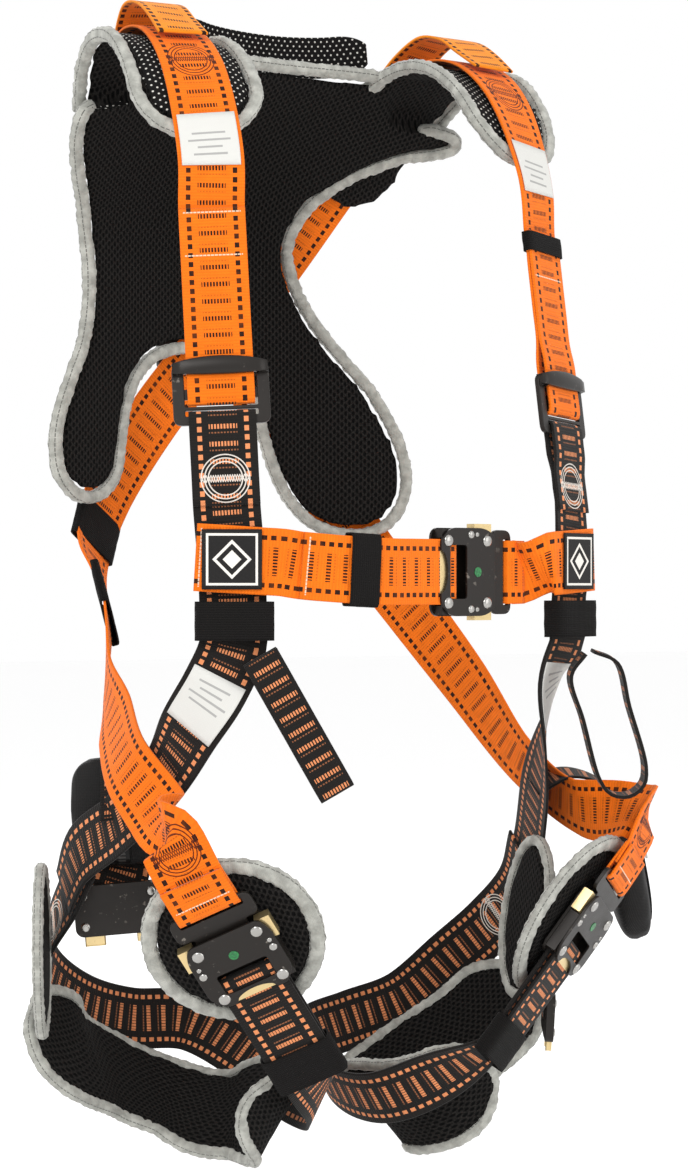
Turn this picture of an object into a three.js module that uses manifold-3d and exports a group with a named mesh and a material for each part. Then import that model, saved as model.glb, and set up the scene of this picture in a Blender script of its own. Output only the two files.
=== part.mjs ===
// Full-body fall-arrest harness: webbing, padding and release buckles.
// Millimetres, +Z up. The front of the harness faces -Y and the wearer's left is +X.
// The origin is where the shoulder padding rests on the wearer's shoulders, midway between them.
import * as THREE from "three";
import { mergeVertices } from "three/addons/utils/BufferGeometryUtils.js";
import Module from "manifold-3d";

const wasm = await Module();
wasm.setup();

// ---- Overall sizes: the routes below are laid out on these, and everything follows them ----
const HARNESS_HEIGHT = 820;
const HARNESS_WIDTH = 430;
const HARNESS_DEPTH = 300;

// ---- Webbing ----
const WEB_WIDTH = 45;
const WEB_THICKNESS = 1.8;
const WEB_STEP = 14;
const GAP = 0.4;
const PLY_PITCH = WEB_THICKNESS + GAP + 0.2;
const LOOP_WEB_WIDTH = 25;

// ---- Padding ----
const PAD_THICKNESS = 8;
const PAD_GAP = 2;
const SHOULDER_PAD_WIDTH = 80;
const LEG_PAD_WIDTH = 78;
const COLLAR_HEIGHT = 30;
const BACKING_LENGTH = 112;
const BACKING_WIDTH = 104;
const HIP_PAD_LENGTH = 112;
const HIP_PAD_WIDTH = 58;

// ---- Release buckles ----
const PLATE = 2;
const RAIL_WIDTH = 7;
const BUCKLE_LENGTH = 54;
const CROSS_BAR_WIDTH = 8;
const CROSS_BAR_THICKNESS = 3;
const CROSS_BAR_AT = 15;
const TONGUE_THICKNESS = 3;
const TONGUE_BEYOND = 23;
const TONGUE_REACH = BUCKLE_LENGTH / 2 + TONGUE_BEYOND;
const TAB_TRAVEL = 3;
const TAB_LENGTH = 17;
const RIVET_RADIUS = 4;

// ---- Torso adjusters ----
const ADJUSTER_LENGTH = 42;
const ADJUSTER_THICKNESS = 3.6;
const SLIDE_BAR_WIDTH = 7;
const SLIDE_BAR_TRAVEL = 2;

// ---- Dorsal attachment ----
const DORSAL_WIDTH = 92;
const DORSAL_HEIGHT = 84;
const DORSAL_THICKNESS = 4;
const RING_WIDTH = 66;
const RING_LENGTH = 72;
const RING_THICKNESS = 8;
const RING_STOCK = 10;
const PIVOT_RADIUS = 4;

// ---- Colours ----
const ORANGE = 0xf56a14;
const BLACK_WEB = 0x2a2622;
const MESH_BLACK = 0x14110f;
const SATIN_BLACK = 0x2b2622;
const BRASS = 0xd8c48e;
const STEEL = 0x8a8a88;
const LABEL = 0xd8d8d4;

const V3 = THREE.Vector3;
const group = new THREE.Group();

function add(name, geometry, color, roughness = 0.85, metalness = 0) {
  const material = new THREE.MeshStandardMaterial({ color, roughness, metalness });
  const mesh = new THREE.Mesh(geometry, material);
  mesh.name = name;
  group.add(mesh);
  return mesh;
}

// A point of the worn harness, laid out on a body of the drawn size.
const DRAWN = { width: 430, depth: 300, height: 820, web: 45 };
function at(x, y, z) {
  return new V3(
    (x * HARNESS_WIDTH) / DRAWN.width,
    (y * HARNESS_DEPTH) / DRAWN.depth,
    (z * HARNESS_HEIGHT) / DRAWN.height,
  );
}

// A point that keeps its distance in millimetres from an anchor on the body, whatever the body's size.
const beside = (anchor, x, y, z) =>
  at(...anchor).add(new V3(x - anchor[0], y - anchor[1], z - anchor[2]));

// One stop of a web's route: its place and the way its outer face looks.
const stop = (x, y, z, nx, ny, nz) => ({ p: at(x, y, z), n: new V3(nx, ny, nz).normalize() });
const stopBeside = (anchor, x, y, z, nx, ny, nz) => ({
  p: beside(anchor, x, y, z),
  n: new V3(nx, ny, nz).normalize(),
});
const lifted = (s, distance) => ({ p: s.p.clone().addScaledVector(s.n, distance), n: s.n });
const flipped = (s) => ({ p: s.p, n: s.n.clone().negate() });

// A right-handed frame of a fitting: u along the web, n out of its face, v across.
function frameOf(origin, along, out) {
  const u = along.clone().normalize();
  const n = out.clone().addScaledVector(u, -out.dot(u)).normalize();
  const v = new V3().crossVectors(u, n);
  const point = (a, b, c) =>
    origin.clone().addScaledVector(u, a).addScaledVector(v, b).addScaledVector(n, c);
  const matrix = new THREE.Matrix4().makeBasis(v, u, n).setPosition(origin);
  return { origin, u, v, n, point, matrix };
}

// ---- Shapes ----

// A flat band bent along its route; n keeps to the wide face. A row falls on every stop, so a
// tight turn keeps its shape, and from and to pick a stretch of the route in stops.
function ribbon(stops, width, thickness, options = {}) {
  const { step = WEB_STEP, lift = 0, from = 0, to = stops.length - 1, rounding = 0 } = options;
  const path = new THREE.CatmullRomCurve3(stops.map((s) => s.p), false, "centripetal");
  const faces = new THREE.CatmullRomCurve3(stops.map((s) => s.n), false, "centripetal");
  const last = stops.length - 1;
  const marks = [from];
  for (let next = Math.floor(from) + 1; next < to; next++) marks.push(next);
  marks.push(to);
  const places = [];
  for (let i = 0; i < marks.length - 1; i++) {
    const span = path.getPoint(marks[i] / last).distanceTo(path.getPoint(marks[i + 1] / last));
    const parts = Math.max(1, Math.round(span / step));
    for (let k = 0; k < parts; k++) places.push(marks[i] + ((marks[i + 1] - marks[i]) * k) / parts);
  }
  places.push(to);
  const rows = places.map((place) => {
    const tangent = path.getTangent(place / last).normalize();
    const frame = frameOf(new V3(), tangent, faces.getPoint(place / last));
    return { p: path.getPoint(place / last).addScaledVector(frame.n, lift), frame, scale: 1 };
  });
  if (rounding) roundOff(rows, rounding);
  return bend(new THREE.BoxGeometry(width, thickness, 1, 1, 1, rows.length - 1), rows);
}

// Narrows the first and last rows of a pad so that its ends are round.
function roundOff(rows, rounding) {
  const along = [0];
  for (let i = 1; i < rows.length; i++) along.push(along[i - 1] + rows[i].p.distanceTo(rows[i - 1].p));
  const total = along[along.length - 1];
  rows.forEach((row, i) => {
    const inset = Math.min(1, (Math.min(along[i], total - along[i]) + 3) / rounding);
    row.scale = Math.sqrt(1 - (1 - inset) ** 2);
  });
}

// Moves each row of a segmented box onto its place.
function bend(box, rows) {
  const position = box.getAttribute("position");
  for (let i = 0; i < position.count; i++) {
    const { p, frame, scale } = rows[Math.round((position.getZ(i) + 0.5) * (rows.length - 1))];
    const moved = p
      .clone()
      .addScaledVector(frame.v, -position.getX(i) * scale)
      .addScaledVector(frame.n, position.getY(i));
    position.setXYZ(i, moved.x, moved.y, moved.z);
  }
  return box;
}

// Extra stops make the tight turn of a web round a bar an even half circle.
function hairpin(frame, turnAt, radius, awayFromTurn) {
  const stops = [];
  for (const degrees of [0, 45, 90, 135, 180]) {
    const angle = (degrees * Math.PI) / 180;
    const along = -awayFromTurn * Math.sin(angle);
    const out = -Math.cos(angle);
    stops.push({
      p: frame.point(turnAt + radius * along, 0, radius * out),
      n: new V3().addScaledVector(frame.u, along).addScaledVector(frame.n, out),
    });
  }
  return stops;
}

function plyStop(frame, along, out, face) {
  return { p: frame.point(along, 0, out), n: frame.n.clone().multiplyScalar(face) };
}

// A round-cornered slab in the fitting's frame: x across, y along, z out, from z0 to z1.
function slab(width, length, corner, z0, z1, centre = [0, 0], holes = []) {
  const shape = rounded(new THREE.Shape(), width, length, corner, centre);
  for (const hole of holes)
    shape.holes.push(rounded(new THREE.Path(), hole[0], hole[1], hole[2], [hole[3], hole[4]]));
  const made = new THREE.ExtrudeGeometry(shape, {
    depth: z1 - z0,
    bevelEnabled: false,
    curveSegments: 4,
  });
  return made.translate(0, 0, z0);
}

function rounded(path, width, length, corner, [cx, cy]) {
  const x = width / 2 - corner;
  const y = length / 2 - corner;
  path.moveTo(cx + x, cy - y - corner);
  path.absarc(cx + x, cy - y, corner, -Math.PI / 2, 0);
  path.absarc(cx + x, cy + y, corner, 0, Math.PI / 2);
  path.absarc(cx - x, cy + y, corner, Math.PI / 2, Math.PI);
  path.absarc(cx - x, cy - y, corner, Math.PI, Math.PI * 1.5);
  path.closePath();
  return path;
}

function disc(radius, z0, z1, x, y) {
  const made = new THREE.CylinderGeometry(radius, radius, z1 - z0, 12);
  return made.rotateX(Math.PI / 2).translate(x, y, (z0 + z1) / 2);
}

function block(x0, x1, y0, y1, z0, z1) {
  const made = new THREE.BoxGeometry(x1 - x0, y1 - y0, z1 - z0);
  return made.translate((x0 + x1) / 2, (y0 + y1) / 2, (z0 + z1) / 2);
}

function solid(geometry) {
  const bare = geometry.clone();
  bare.deleteAttribute("normal");
  bare.deleteAttribute("uv");
  const merged = mergeVertices(bare, 1e-4);
  return new wasm.Manifold(
    new wasm.Mesh({
      numProp: 3,
      vertProperties: merged.getAttribute("position").array,
      triVerts: new Uint32Array(merged.index.array),
    }),
  );
}

function geometryOf(manifold) {
  const { vertProperties, triVerts } = manifold.getMesh();
  const made = new THREE.BufferGeometry();
  made.setAttribute("position", new THREE.BufferAttribute(new Float32Array(vertProperties), 3));
  made.setIndex(new THREE.BufferAttribute(new Uint32Array(triVerts), 1));
  return made;
}

// Foam fills every pocket that is shut in on all sides.
function filled(manifold) {
  const shells = manifold.decompose().filter((shell) => shell.volume() > 0);
  return shells.reduce((a, b) => a.add(b));
}

function joined(pieces, cuts = []) {
  let result = pieces.map(solid).reduce((a, b) => a.add(b));
  for (const cut of cuts) result = result.subtract(solid(cut));
  return geometryOf(result);
}

// A cushion: a box rounded off into a soft pillow by raising its directions to a power.
function pillow(width, length, thickness, softness) {
  const made = new THREE.SphereGeometry(1, 16, 12);
  const position = made.getAttribute("position");
  const power = (value) => Math.sign(value) * Math.abs(value) ** softness;
  for (let i = 0; i < position.count; i++) {
    position.setXYZ(
      i,
      (power(position.getX(i)) * width) / 2,
      (power(position.getZ(i)) * length) / 2,
      (-power(position.getY(i)) * thickness) / 2,
    );
  }
  return made;
}

// An oval pad, flat on both faces.
function ovalPad(width, length, thickness) {
  const made = new THREE.CylinderGeometry(1, 1, thickness, 28);
  return made.rotateX(Math.PI / 2).scale(width / 2, length / 2, 1);
}

// ---- Frames of the fittings, from the body's own places ----

const SIDES = [
  { side: "right", s: -1 },
  { side: "left", s: 1 },
];

const adjusterFrame = (s) =>
  frameOf(at(s * 139, -122, -252), new V3(s * 0.026, -0.153, -0.988), new V3(s * 0.45, -0.89, 0));

const legBuckleFrame = (s) =>
  frameOf(
    at(s * 138, -146, -628),
    new V3(-s * 0.6, 0.15, -0.785),
    new V3(s * 0.5, -0.8, -0.3),
  );

const chestBuckleFrame = () =>
  frameOf(at(36, -150, -371), new V3(-0.975, -0.22, 0), new V3(0.22, -0.975, 0));

// The turn of a web round a buckle's cross bar, and the room that its two plies need.
const BUCKLE_PLY = CROSS_BAR_THICKNESS / 2 + GAP + WEB_THICKNESS / 2;
const BUCKLE_TURN = CROSS_BAR_AT - CROSS_BAR_WIDTH / 2 + GAP;
const ADJUSTER_PLY = ADJUSTER_THICKNESS / 2 + GAP + WEB_THICKNESS / 2;
const SLIDE_TURN =
  SLIDE_BAR_WIDTH / 2 + SLIDE_BAR_TRAVEL + GAP + WEB_THICKNESS / 2 - ADJUSTER_PLY;
const ADJUSTER_WINDOW = ADJUSTER_LENGTH - 12;
const LOWER_TURN = ADJUSTER_WINDOW / 2 + GAP;

// ---- Webbing ----

// The long orange web: folded tail, torso adjuster, shoulder, dorsal crossing, opposite hip.
function crossWebStops(s) {
  const adjuster = adjusterFrame(s);
  const across = s < 0 ? 0 : PLY_PITCH + 1;
  const buckle = legBuckleFrame(-s);
  const half = PLY_PITCH / 2;
  const tail = [-128, -100, -70, -48].map((along) => plyStop(adjuster, along, half, 1));
  const wide = [-32, -14].map((along) => plyStop(adjuster, along, ADJUSTER_PLY, 1));
  const turn = hairpin(adjuster, SLIDE_TURN, ADJUSTER_PLY, -1).reverse();
  const back = [-14, -32].map((along) => plyStop(adjuster, along, -ADJUSTER_PLY, -1));
  const rise = [-48, -70, -100, -128].map((along) => plyStop(adjuster, along, -half, -1));
  const over = [
    stop(s * 134, -98, -88, s * 0.4, -0.88, 0.2),
    stop(s * 131, -66, -22, s * 0.2, -0.8, 0.55),
    stop(s * 128, -28, 8, s * 0.05, -0.35, 0.93),
    stop(s * 124, 14, 13, 0, 0.1, 1),
    stop(s * 113, 62, -10, 0, 0.7, 0.7),
    stop(s * 90, 108, -62, s * 0.1, 0.92, 0.38),
    stop(s * 50, 138 + across, -132, 0, 1, 0.1),
    stop(0, 142 + across, -190, 0, 1, 0),
    stop(-s * 55, 138 + across, -252, -s * 0.08, 1, 0),
    stop(-s * 102, 130, -318, -s * 0.25, 0.97, 0),
    stop(-s * 122, 110, -358, -s * 0.5, 0.86, 0),
  ];
  const hip = s < 0 ? leftHipStops() : rightHipStops();
  const end = [
    plyStop(buckle, -TONGUE_REACH - 48, -10, 1),
    plyStop(buckle, -TONGUE_REACH - 24, -1.5, 1),
    plyStop(buckle, -TONGUE_REACH - 4, 0, 1),
  ];
  return [...tail, ...wide, ...turn, ...back, ...rise, ...[...over, ...hip, ...end].map(flipped)];
}

// The stop of the long web where it leaves the straight front stretch for the shoulder.
const SHOULDER_START = 17;

function leftHipStops() {
  return [
    stop(132, 66, -400, 0.8, 0.6, 0),
    stop(150, 20, -453, 0.95, 0.3, 0),
    stop(168, -30, -512, 0.95, -0.1, 0.1),
    stop(180, -84, -544, 0.9, -0.35, 0.15),
  ];
}

function rightHipStops() {
  return [
    stop(-132, 66, -400, -0.8, 0.6, 0),
    stop(-154, 20, -450, -0.95, 0.3, 0),
    stop(-168, -20, -474, -0.95, -0.1, 0.2),
    stop(-183, -68, -502, -0.9, -0.4, 0.1),
    stop(-180, -110, -532, -0.65, -0.75, 0.1),
  ];
}

// The black chest web: sewn end, adjuster bar, chest, then out to the hip.
function frontWeb(s) {
  const adjuster = adjusterFrame(s);
  const half = PLY_PITCH / 2;
  const sewn = [76, 60, 48].map((along) => plyStop(adjuster, along, half, 1));
  const wide = [36, 26].map((along) => plyStop(adjuster, along, ADJUSTER_PLY, 1));
  const turn = hairpin(adjuster, LOWER_TURN, ADJUSTER_PLY, 1).reverse();
  const back = [26, 36].map((along) => plyStop(adjuster, along, -ADJUSTER_PLY, -1));
  const down = [48, 60, 76].map((along) => plyStop(adjuster, along, -half, -1));
  const stops = [...sewn, ...wide, ...turn, ...back, ...down];
  return ribbon([...stops, ...frontStops(s).map(flipped)], WEB_WIDTH, WEB_THICKNESS);
}

const chestStop = (s) => stop(s * 139, -136, -363, s * 0.4, -0.92, 0);

function frontStops(s) {
  const chest = [chestStop(s), stop(s * 137, -135, -392, s * 0.4, -0.92, 0)];
  const right = [
    stop(-137, -135, -420, -0.4, -0.92, 0),
    stop(-149, -132, -448, -0.5, -0.85, 0.1),
    stop(-160, -116, -476, -0.75, -0.65, 0.1),
    stop(-165, -86, -510, -0.92, -0.3, 0.1),
    stop(-180, -46, -544, -0.97, -0.1, 0.1),
    stop(-190, -8, -568, -1, 0.05, 0),
    stop(-191, 14, -596, -0.98, 0.2, 0),
  ];
  const left = [
    stop(136, -134, -420, 0.4, -0.92, 0),
    stop(130, -124, -446, 0.5, -0.86, 0),
    stop(138, -104, -488, 0.8, -0.6, 0.1),
    stop(156, -66, -532, 0.93, -0.25, 0.2),
    stop(180, -22, -582, 0.96, -0.1, 0.1),
    stop(194, 8, -614, 0.98, 0.2, 0),
  ];
  return [...chest, ...(s < 0 ? right : left)];
}

// The leg web: from under the hip seam, behind the thigh and through the leg buckle.
function legStops(s) {
  const seam = frontStops(s).slice(-2).map((place) => lifted(place, -PLY_PITCH - 2.4));
  if (s < 0)
    return [
      ...seam,
      stop(-188, 44, -630, -0.9, 0.45, 0),
      stop(-170, 80, -664, -0.7, 0.7, 0),
      stop(-134, 98, -690, -0.4, 0.9, -0.1),
      stop(-92, 106, -704, -0.1, 0.98, -0.2),
      stop(-50, 96, -708, 0.3, 0.9, -0.3),
      stop(-22, 54, -728, 0.7, 0.5, -0.5),
      stop(-16, 4, -747, 0.85, 0, -0.52),
      stop(-18, -42, -750, 0.8, -0.4, -0.45),
      stop(-36, -80, -736, 0.6, -0.7, -0.4),
    ];
  return [
    ...seam,
    stop(188, 44, -646, 0.85, 0.5, 0),
    stop(171, 70, -673, 0.6, 0.75, -0.1),
    stop(130, 78, -704, 0.3, 0.9, -0.2),
    stop(84, 80, -716, -0.05, 0.95, -0.3),
    stop(43, 66, -723, -0.5, 0.75, -0.4),
    stop(18, 22, -740, -0.8, 0.3, -0.5),
    stop(14, -24, -749, -0.85, -0.1, -0.52),
    stop(22, -64, -748, -0.7, -0.5, -0.5),
    stop(44, -92, -734, -0.45, -0.75, -0.4),
  ];
}

function legWeb(s) {
  const buckle = legBuckleFrame(s);
  const inner = [96, 74, 52, 34].map((along) => plyStop(buckle, along, -BUCKLE_PLY, -1));
  const turn = hairpin(buckle, BUCKLE_TURN, BUCKLE_PLY, 1);
  const outer = [34, 52, 74, 96].map((along) => plyStop(buckle, along, BUCKLE_PLY, 1));
  const main = legStops(s).map(flipped);
  return ribbon([...main, ...inner, ...turn, ...outer], WEB_WIDTH, WEB_THICKNESS);
}

// The chest strap: the buckle side folds back on itself, the tongue side is one ply.
const CHEST_LIFT = PLY_PITCH + 1.2;

// The three stops that keep the strap flat on the chest web of side s, outer one first.
function chestSeat(s) {
  const seat = lifted(chestStop(s), CHEST_LIFT);
  const half = WEB_WIDTH / 2;
  const across = new V3(0.92, s * 0.4, s * 0.06);
  const distances = [half + 1.5, 0, 0.5 - half, -half - 11.5];
  return distances.map((d) => ({ p: seat.p.clone().addScaledVector(across, s * d), n: seat.n }));
}

const chestBow = () => [
  stop(-97, -156, -367, -0.25, -0.97, 0),
  stop(-76, -163.5, -369, -0.14, -0.99, 0),
];

function chestWebRight() {
  const buckle = chestBuckleFrame();
  const bow = chestBow();
  const main = [...chestSeat(-1), ...bow].map(flipped);
  const inner = [72, 54, 38].map((along) => plyStop(buckle, along, -BUCKLE_PLY, -1));
  const turn = hairpin(buckle, BUCKLE_TURN, BUCKLE_PLY, 1);
  const outer = [38, 54, 72].map((along) => plyStop(buckle, along, BUCKLE_PLY, 1));
  const tail = [lifted(bow[1], PLY_PITCH + 1), lifted(bow[0], PLY_PITCH)];
  return ribbon([...main, ...inner, ...turn, ...outer, ...tail], WEB_WIDTH, WEB_THICKNESS);
}

function chestWebLeft() {
  const buckle = chestBuckleFrame();
  const stops = [
    plyStop(buckle, -TONGUE_REACH - 4, 0, 1),
    plyStop(buckle, -TONGUE_REACH - 14, 0, 1),
    ...chestSeat(1).reverse(),
  ];
  return ribbon(stops, WEB_WIDTH, WEB_THICKNESS);
}

// ---- Keepers, patches, labels and loops ----

// A sleeve round a web: an outer band less the room for what passes through it.
function sleeve(frame, width, room, length, wall = 1.2) {
  const outer = block(-width / 2 - wall, width / 2 + wall, -length / 2, length / 2, -room - wall, room + wall);
  const inner = block(-width / 2, width / 2, -length, length, -room, room);
  return joined([outer], [inner]).applyMatrix4(frame.matrix);
}

const chestKeeperFrame = () => {
  const near = chestBuckleFrame().point(72, 0, 0);
  const far = lifted(chestBow()[1], (PLY_PITCH + 1) / 2).p;
  const centre = near.clone().lerp(far, 0.5);
  return frameOf(centre, far.clone().sub(near), new V3(0, -1, 0));
};

const frontKeeperFrame = (s) => {
  const centre = beside([s * 139, -136, -363], s * 137, -137, -381.5 - WEB_WIDTH / 2);
  return frameOf(centre, new V3(0, 0, -1), new V3(s * 0.4, -0.92, 0));
};

function patch(s) {
  const seat = lifted(chestStop(s), CHEST_LIFT + WEB_THICKNESS / 2 + GAP + 0.2);
  const frame = frameOf(seat.p, new V3(0, 0, 1), seat.n);
  return slab(40, 40, 2, 0, 1.4).applyMatrix4(frame.matrix);
}

// The white label sewn on the shoulder web, just above the folded tail.
function shoulderLabel(s) {
  return ribbon(crossWebStops(s), WEB_WIDTH - 5, 0.8, {
    lift: -WEB_THICKNESS / 2 - GAP - WEB_WIDTH / 75,
    from: SHOULDER_START - 0.2,
    to: SHOULDER_START + 0.42,
    step: 8,
  });
}

const LOOP_LENGTH = 108;
const arrestFrame = (s) => {
  const z = -403.5 - WEB_WIDTH / 2;
  return s < 0
    ? frameOf(beside([-139, -136, -363], -127, -152, z), new V3(0.5, -0.1, -0.86), new V3(-0.4, -0.9, 0))
    : frameOf(beside([139, -136, -363], 143, -150, z), new V3(0.25, -0.1, -0.96), new V3(0.86, -0.5, 0));
};

// The fall-arrest loop: a hairpin of narrow web that hangs from its keeper.
function arrestLoop(s) {
  const frame = arrestFrame(s);
  const spread = s < 0 ? 2.6 : 17;
  const neck = s < 0 ? 2.2 : 3;
  const down = [0, 14, 46].map((along, i) => plyStop(frame, along, i < 1 ? -neck : -spread, -1));
  const turn = hairpin(frame, LOOP_LENGTH - spread, spread, -1);
  const up = [46, 14, 0].map((along, i) => plyStop(frame, along, i > 1 ? neck : spread, 1));
  return ribbon([...down, ...turn, ...up], LOOP_WEB_WIDTH, 2.4);
}

// The confined-space loop: an arch of orange web over the top of the shoulder.
function shoulderLoop(s) {
  const stops = [
    stop(s * 130, -50, 3, s * 0.1, -0.6, 0.8),
    stop(s * 128, -30, 17, 0, -0.5, 0.86),
    stop(s * 126, -8, 30, 0, -0.2, 0.97),
    stop(s * 123, 18, 34, 0, 0.2, 0.97),
    stop(s * 117, 44, 20, 0, 0.7, 0.7),
    stop(s * 110, 64, 0, 0, 0.75, 0.65),
  ];
  return ribbon(stops, WEB_WIDTH - 8, WEB_THICKNESS, { step: 8 });
}

// ---- Padding ----

// How far back the torso's surface lies: it curves round the ribs and comes forward at the top.
function backDepth(x, z) {
  const rib = Math.min(Math.abs(x), 150);
  const top = Math.max(0, z + 130);
  return 130 - 0.0017 * rib * rib - 0.0052 * top * top;
}

// The yoke pad's outline, seen from behind: neck, shoulders and the two lower lobes.
function yokeOutline() {
  const shape = new THREE.Shape();
  shape.moveTo(-20, 4);
  shape.bezierCurveTo(-50, 4, -70, 4, -84, 0);
  shape.lineTo(-104, -26);
  shape.lineTo(-158, -34);
  shape.bezierCurveTo(-160, -50, -152, -70, -140, -90);
  shape.bezierCurveTo(-124, -130, -122, -170, -134, -206);
  shape.bezierCurveTo(-150, -236, -164, -262, -158, -292);
  shape.bezierCurveTo(-150, -322, -108, -318, -102, -288);
  shape.bezierCurveTo(-98, -248, -92, -220, -66, -204);
  shape.bezierCurveTo(-30, -186, 10, -196, 26, -232);
  shape.bezierCurveTo(38, -262, 42, -296, 62, -318);
  shape.bezierCurveTo(82, -342, 122, -346, 136, -322);
  shape.bezierCurveTo(152, -292, 134, -258, 116, -228);
  shape.bezierCurveTo(84, -190, 52, -160, 50, -118);
  shape.bezierCurveTo(54, -76, 92, -56, 128, -44);
  shape.lineTo(156, -42);
  shape.lineTo(156, -32);
  shape.lineTo(104, -26);
  shape.lineTo(84, 0);
  shape.bezierCurveTo(60, 4, 20, 4, -20, 4);
  return shape;
}

// The pad is cut flat, split into strips along x, and each strip moved back onto the torso curve.
function yokePad() {
  const flat = new THREE.ExtrudeGeometry(yokeOutline(), {
    depth: PAD_THICKNESS,
    bevelEnabled: false,
    curveSegments: 8,
  });
  flat.rotateX(Math.PI / 2);
  let sheet = solid(flat).translate([0, PAD_THICKNESS / 2, 0]);
  sheet = sheet.refineToLength(34);
  const bent = sheet.warp((p) => {
    const scaled = at(p[0], 0, p[2]);
    const slope = 0.0104 * Math.max(0, p[2] + 130);
    p[1] = at(0, backDepth(p[0], p[2]), 0).y + p[1] * Math.hypot(1, slope);
    p[0] = scaled.x;
    p[2] = scaled.z;
  });
  const arms = SIDES.map(({ s }) => solid(shoulderArm(s)));
  return geometryOf(filled(bent.add(arms[0]).add(arms[1])));
}

// The arm of the pad that runs under the web, over the shoulder and down its front.
function shoulderArm(s) {
  return ribbon(crossWebStops(s), SHOULDER_PAD_WIDTH, PAD_THICKNESS, {
    lift: PAD_THICKNESS / 2 + WEB_THICKNESS / 2 + PAD_GAP,
    from: SHOULDER_START + 0.35,
    to: SHOULDER_START + 5.2,
    rounding: 36,
  });
}

const collarStops = () => [
  stop(-82, 52, 26, -0.3, 0.9, 0.2),
  stop(-50, 66, 22, -0.15, 0.98, 0.1),
  stop(0, 72, 20, 0, 1, 0.1),
  stop(50, 66, 22, 0.15, 0.98, 0.1),
  stop(82, 52, 26, 0.3, 0.9, 0.2),
];

function legPadStops(s) {
  if (s < 0)
    return [
      stopBeside([-188, 44, -630], -207, 32, -678, -0.6, 0.75, -0.2),
      stopBeside([-170, 80, -664], -172, 36, -709, -0.35, 0.8, -0.45),
      stopBeside([-134, 98, -690], -128, 62, -736, -0.2, 0.7, -0.65),
      stopBeside([-92, 106, -704], -84, 58, -757, 0, 0.6, -0.8),
      stopBeside([-50, 96, -708], -61, 26, -764, 0.5, 0.4, -0.75),
      stopBeside([-22, 54, -728], -51, 2, -758, 0.85, 0, -0.52),
      stopBeside([-16, 4, -747], -52, -36, -756, 0.8, -0.4, -0.45),
      stopBeside([-18, -42, -750], -62, -68, -748, 0.55, -0.75, -0.4),
      stopBeside([-36, -80, -736], -86, -90, -722, 0.1, -0.85, -0.5),
    ];
  return [
    stopBeside([188, 44, -646], 209, 24, -686, 0.6, 0.75, -0.2),
    stopBeside([171, 70, -673], 166, 30, -723, 0.35, 0.8, -0.45),
    stopBeside([130, 78, -704], 124, 38, -746, 0.2, 0.7, -0.65),
    stopBeside([84, 80, -716], 86, 32, -762, 0, 0.6, -0.8),
    stopBeside([43, 66, -723], 61, 8, -767, -0.5, 0.4, -0.75),
    stopBeside([18, 22, -740], 51, -18, -763, -0.85, 0, -0.52),
    stopBeside([14, -24, -749], 54, -48, -760, -0.8, -0.4, -0.45),
    stopBeside([22, -64, -748], 68, -74, -750, -0.55, -0.75, -0.4),
    stopBeside([44, -92, -734], 94, -90, -722, -0.1, -0.85, -0.5),
  ];
}

// The pad stands further off a wider web, whose edges reach further where it twists.
function legPad(s) {
  const off = (WEB_WIDTH - DRAWN.web) * 0.15;
  const stops = legPadStops(s).map((place) => lifted(place, -off));
  return ribbon(stops, LEG_PAD_WIDTH, PAD_THICKNESS - 2, { rounding: 40 });
}

function backingPad(s) {
  const buckle = legBuckleFrame(s);
  const frame = frameOf(buckle.point(-8, 0, -13), buckle.u, buckle.n);
  return ovalPad(BACKING_WIDTH, BACKING_LENGTH, PAD_THICKNESS - 2).applyMatrix4(frame.matrix);
}

function hipPad(s) {
  const frame =
    s < 0
      ? frameOf(beside([-188, 44, -630], -214, 0, -634), new V3(0.06, 0.1, -1), new V3(-0.86, 0.5, 0))
      : frameOf(beside([180, -22, -582], 158, -52, -628), new V3(-0.1, 0.1, -1), new V3(1, -0.1, 0));
  return ovalPad(HIP_PAD_WIDTH, HIP_PAD_LENGTH, PAD_THICKNESS - 2).applyMatrix4(frame.matrix);
}

// ---- Hardware ----

const RAIL_INSIDE = WEB_WIDTH / 2 + 1;
const RAIL_OUTSIDE = RAIL_INSIDE + RAIL_WIDTH;
const SANDWICH = BUCKLE_PLY + WEB_THICKNESS / 2 + GAP;
const TAB_AT = -BUCKLE_LENGTH / 2 + TAB_LENGTH / 2 + 2;

function buckleBody() {
  const rear = slab(RAIL_OUTSIDE * 2, BUCKLE_LENGTH, 7, -SANDWICH - PLATE, -SANDWICH);
  const railStart = TAB_AT + TAB_LENGTH / 2 + 1;
  const railEnd = BUCKLE_LENGTH / 2 - 3;
  const rails = [-1, 1].map((s) =>
    block(
      s < 0 ? -RAIL_OUTSIDE + 1 : RAIL_INSIDE,
      s < 0 ? -RAIL_INSIDE : RAIL_OUTSIDE - 1,
      railStart,
      railEnd,
      -SANDWICH - PLATE / 2,
      SANDWICH - GAP,
    ),
  );
  const bar = block(
    -RAIL_INSIDE - 2,
    RAIL_INSIDE + 2,
    CROSS_BAR_AT - CROSS_BAR_WIDTH / 2,
    CROSS_BAR_AT + CROSS_BAR_WIDTH / 2,
    -CROSS_BAR_THICKNESS / 2,
    CROSS_BAR_THICKNESS / 2,
  );
  return joined([rear, ...rails, bar]);
}

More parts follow.
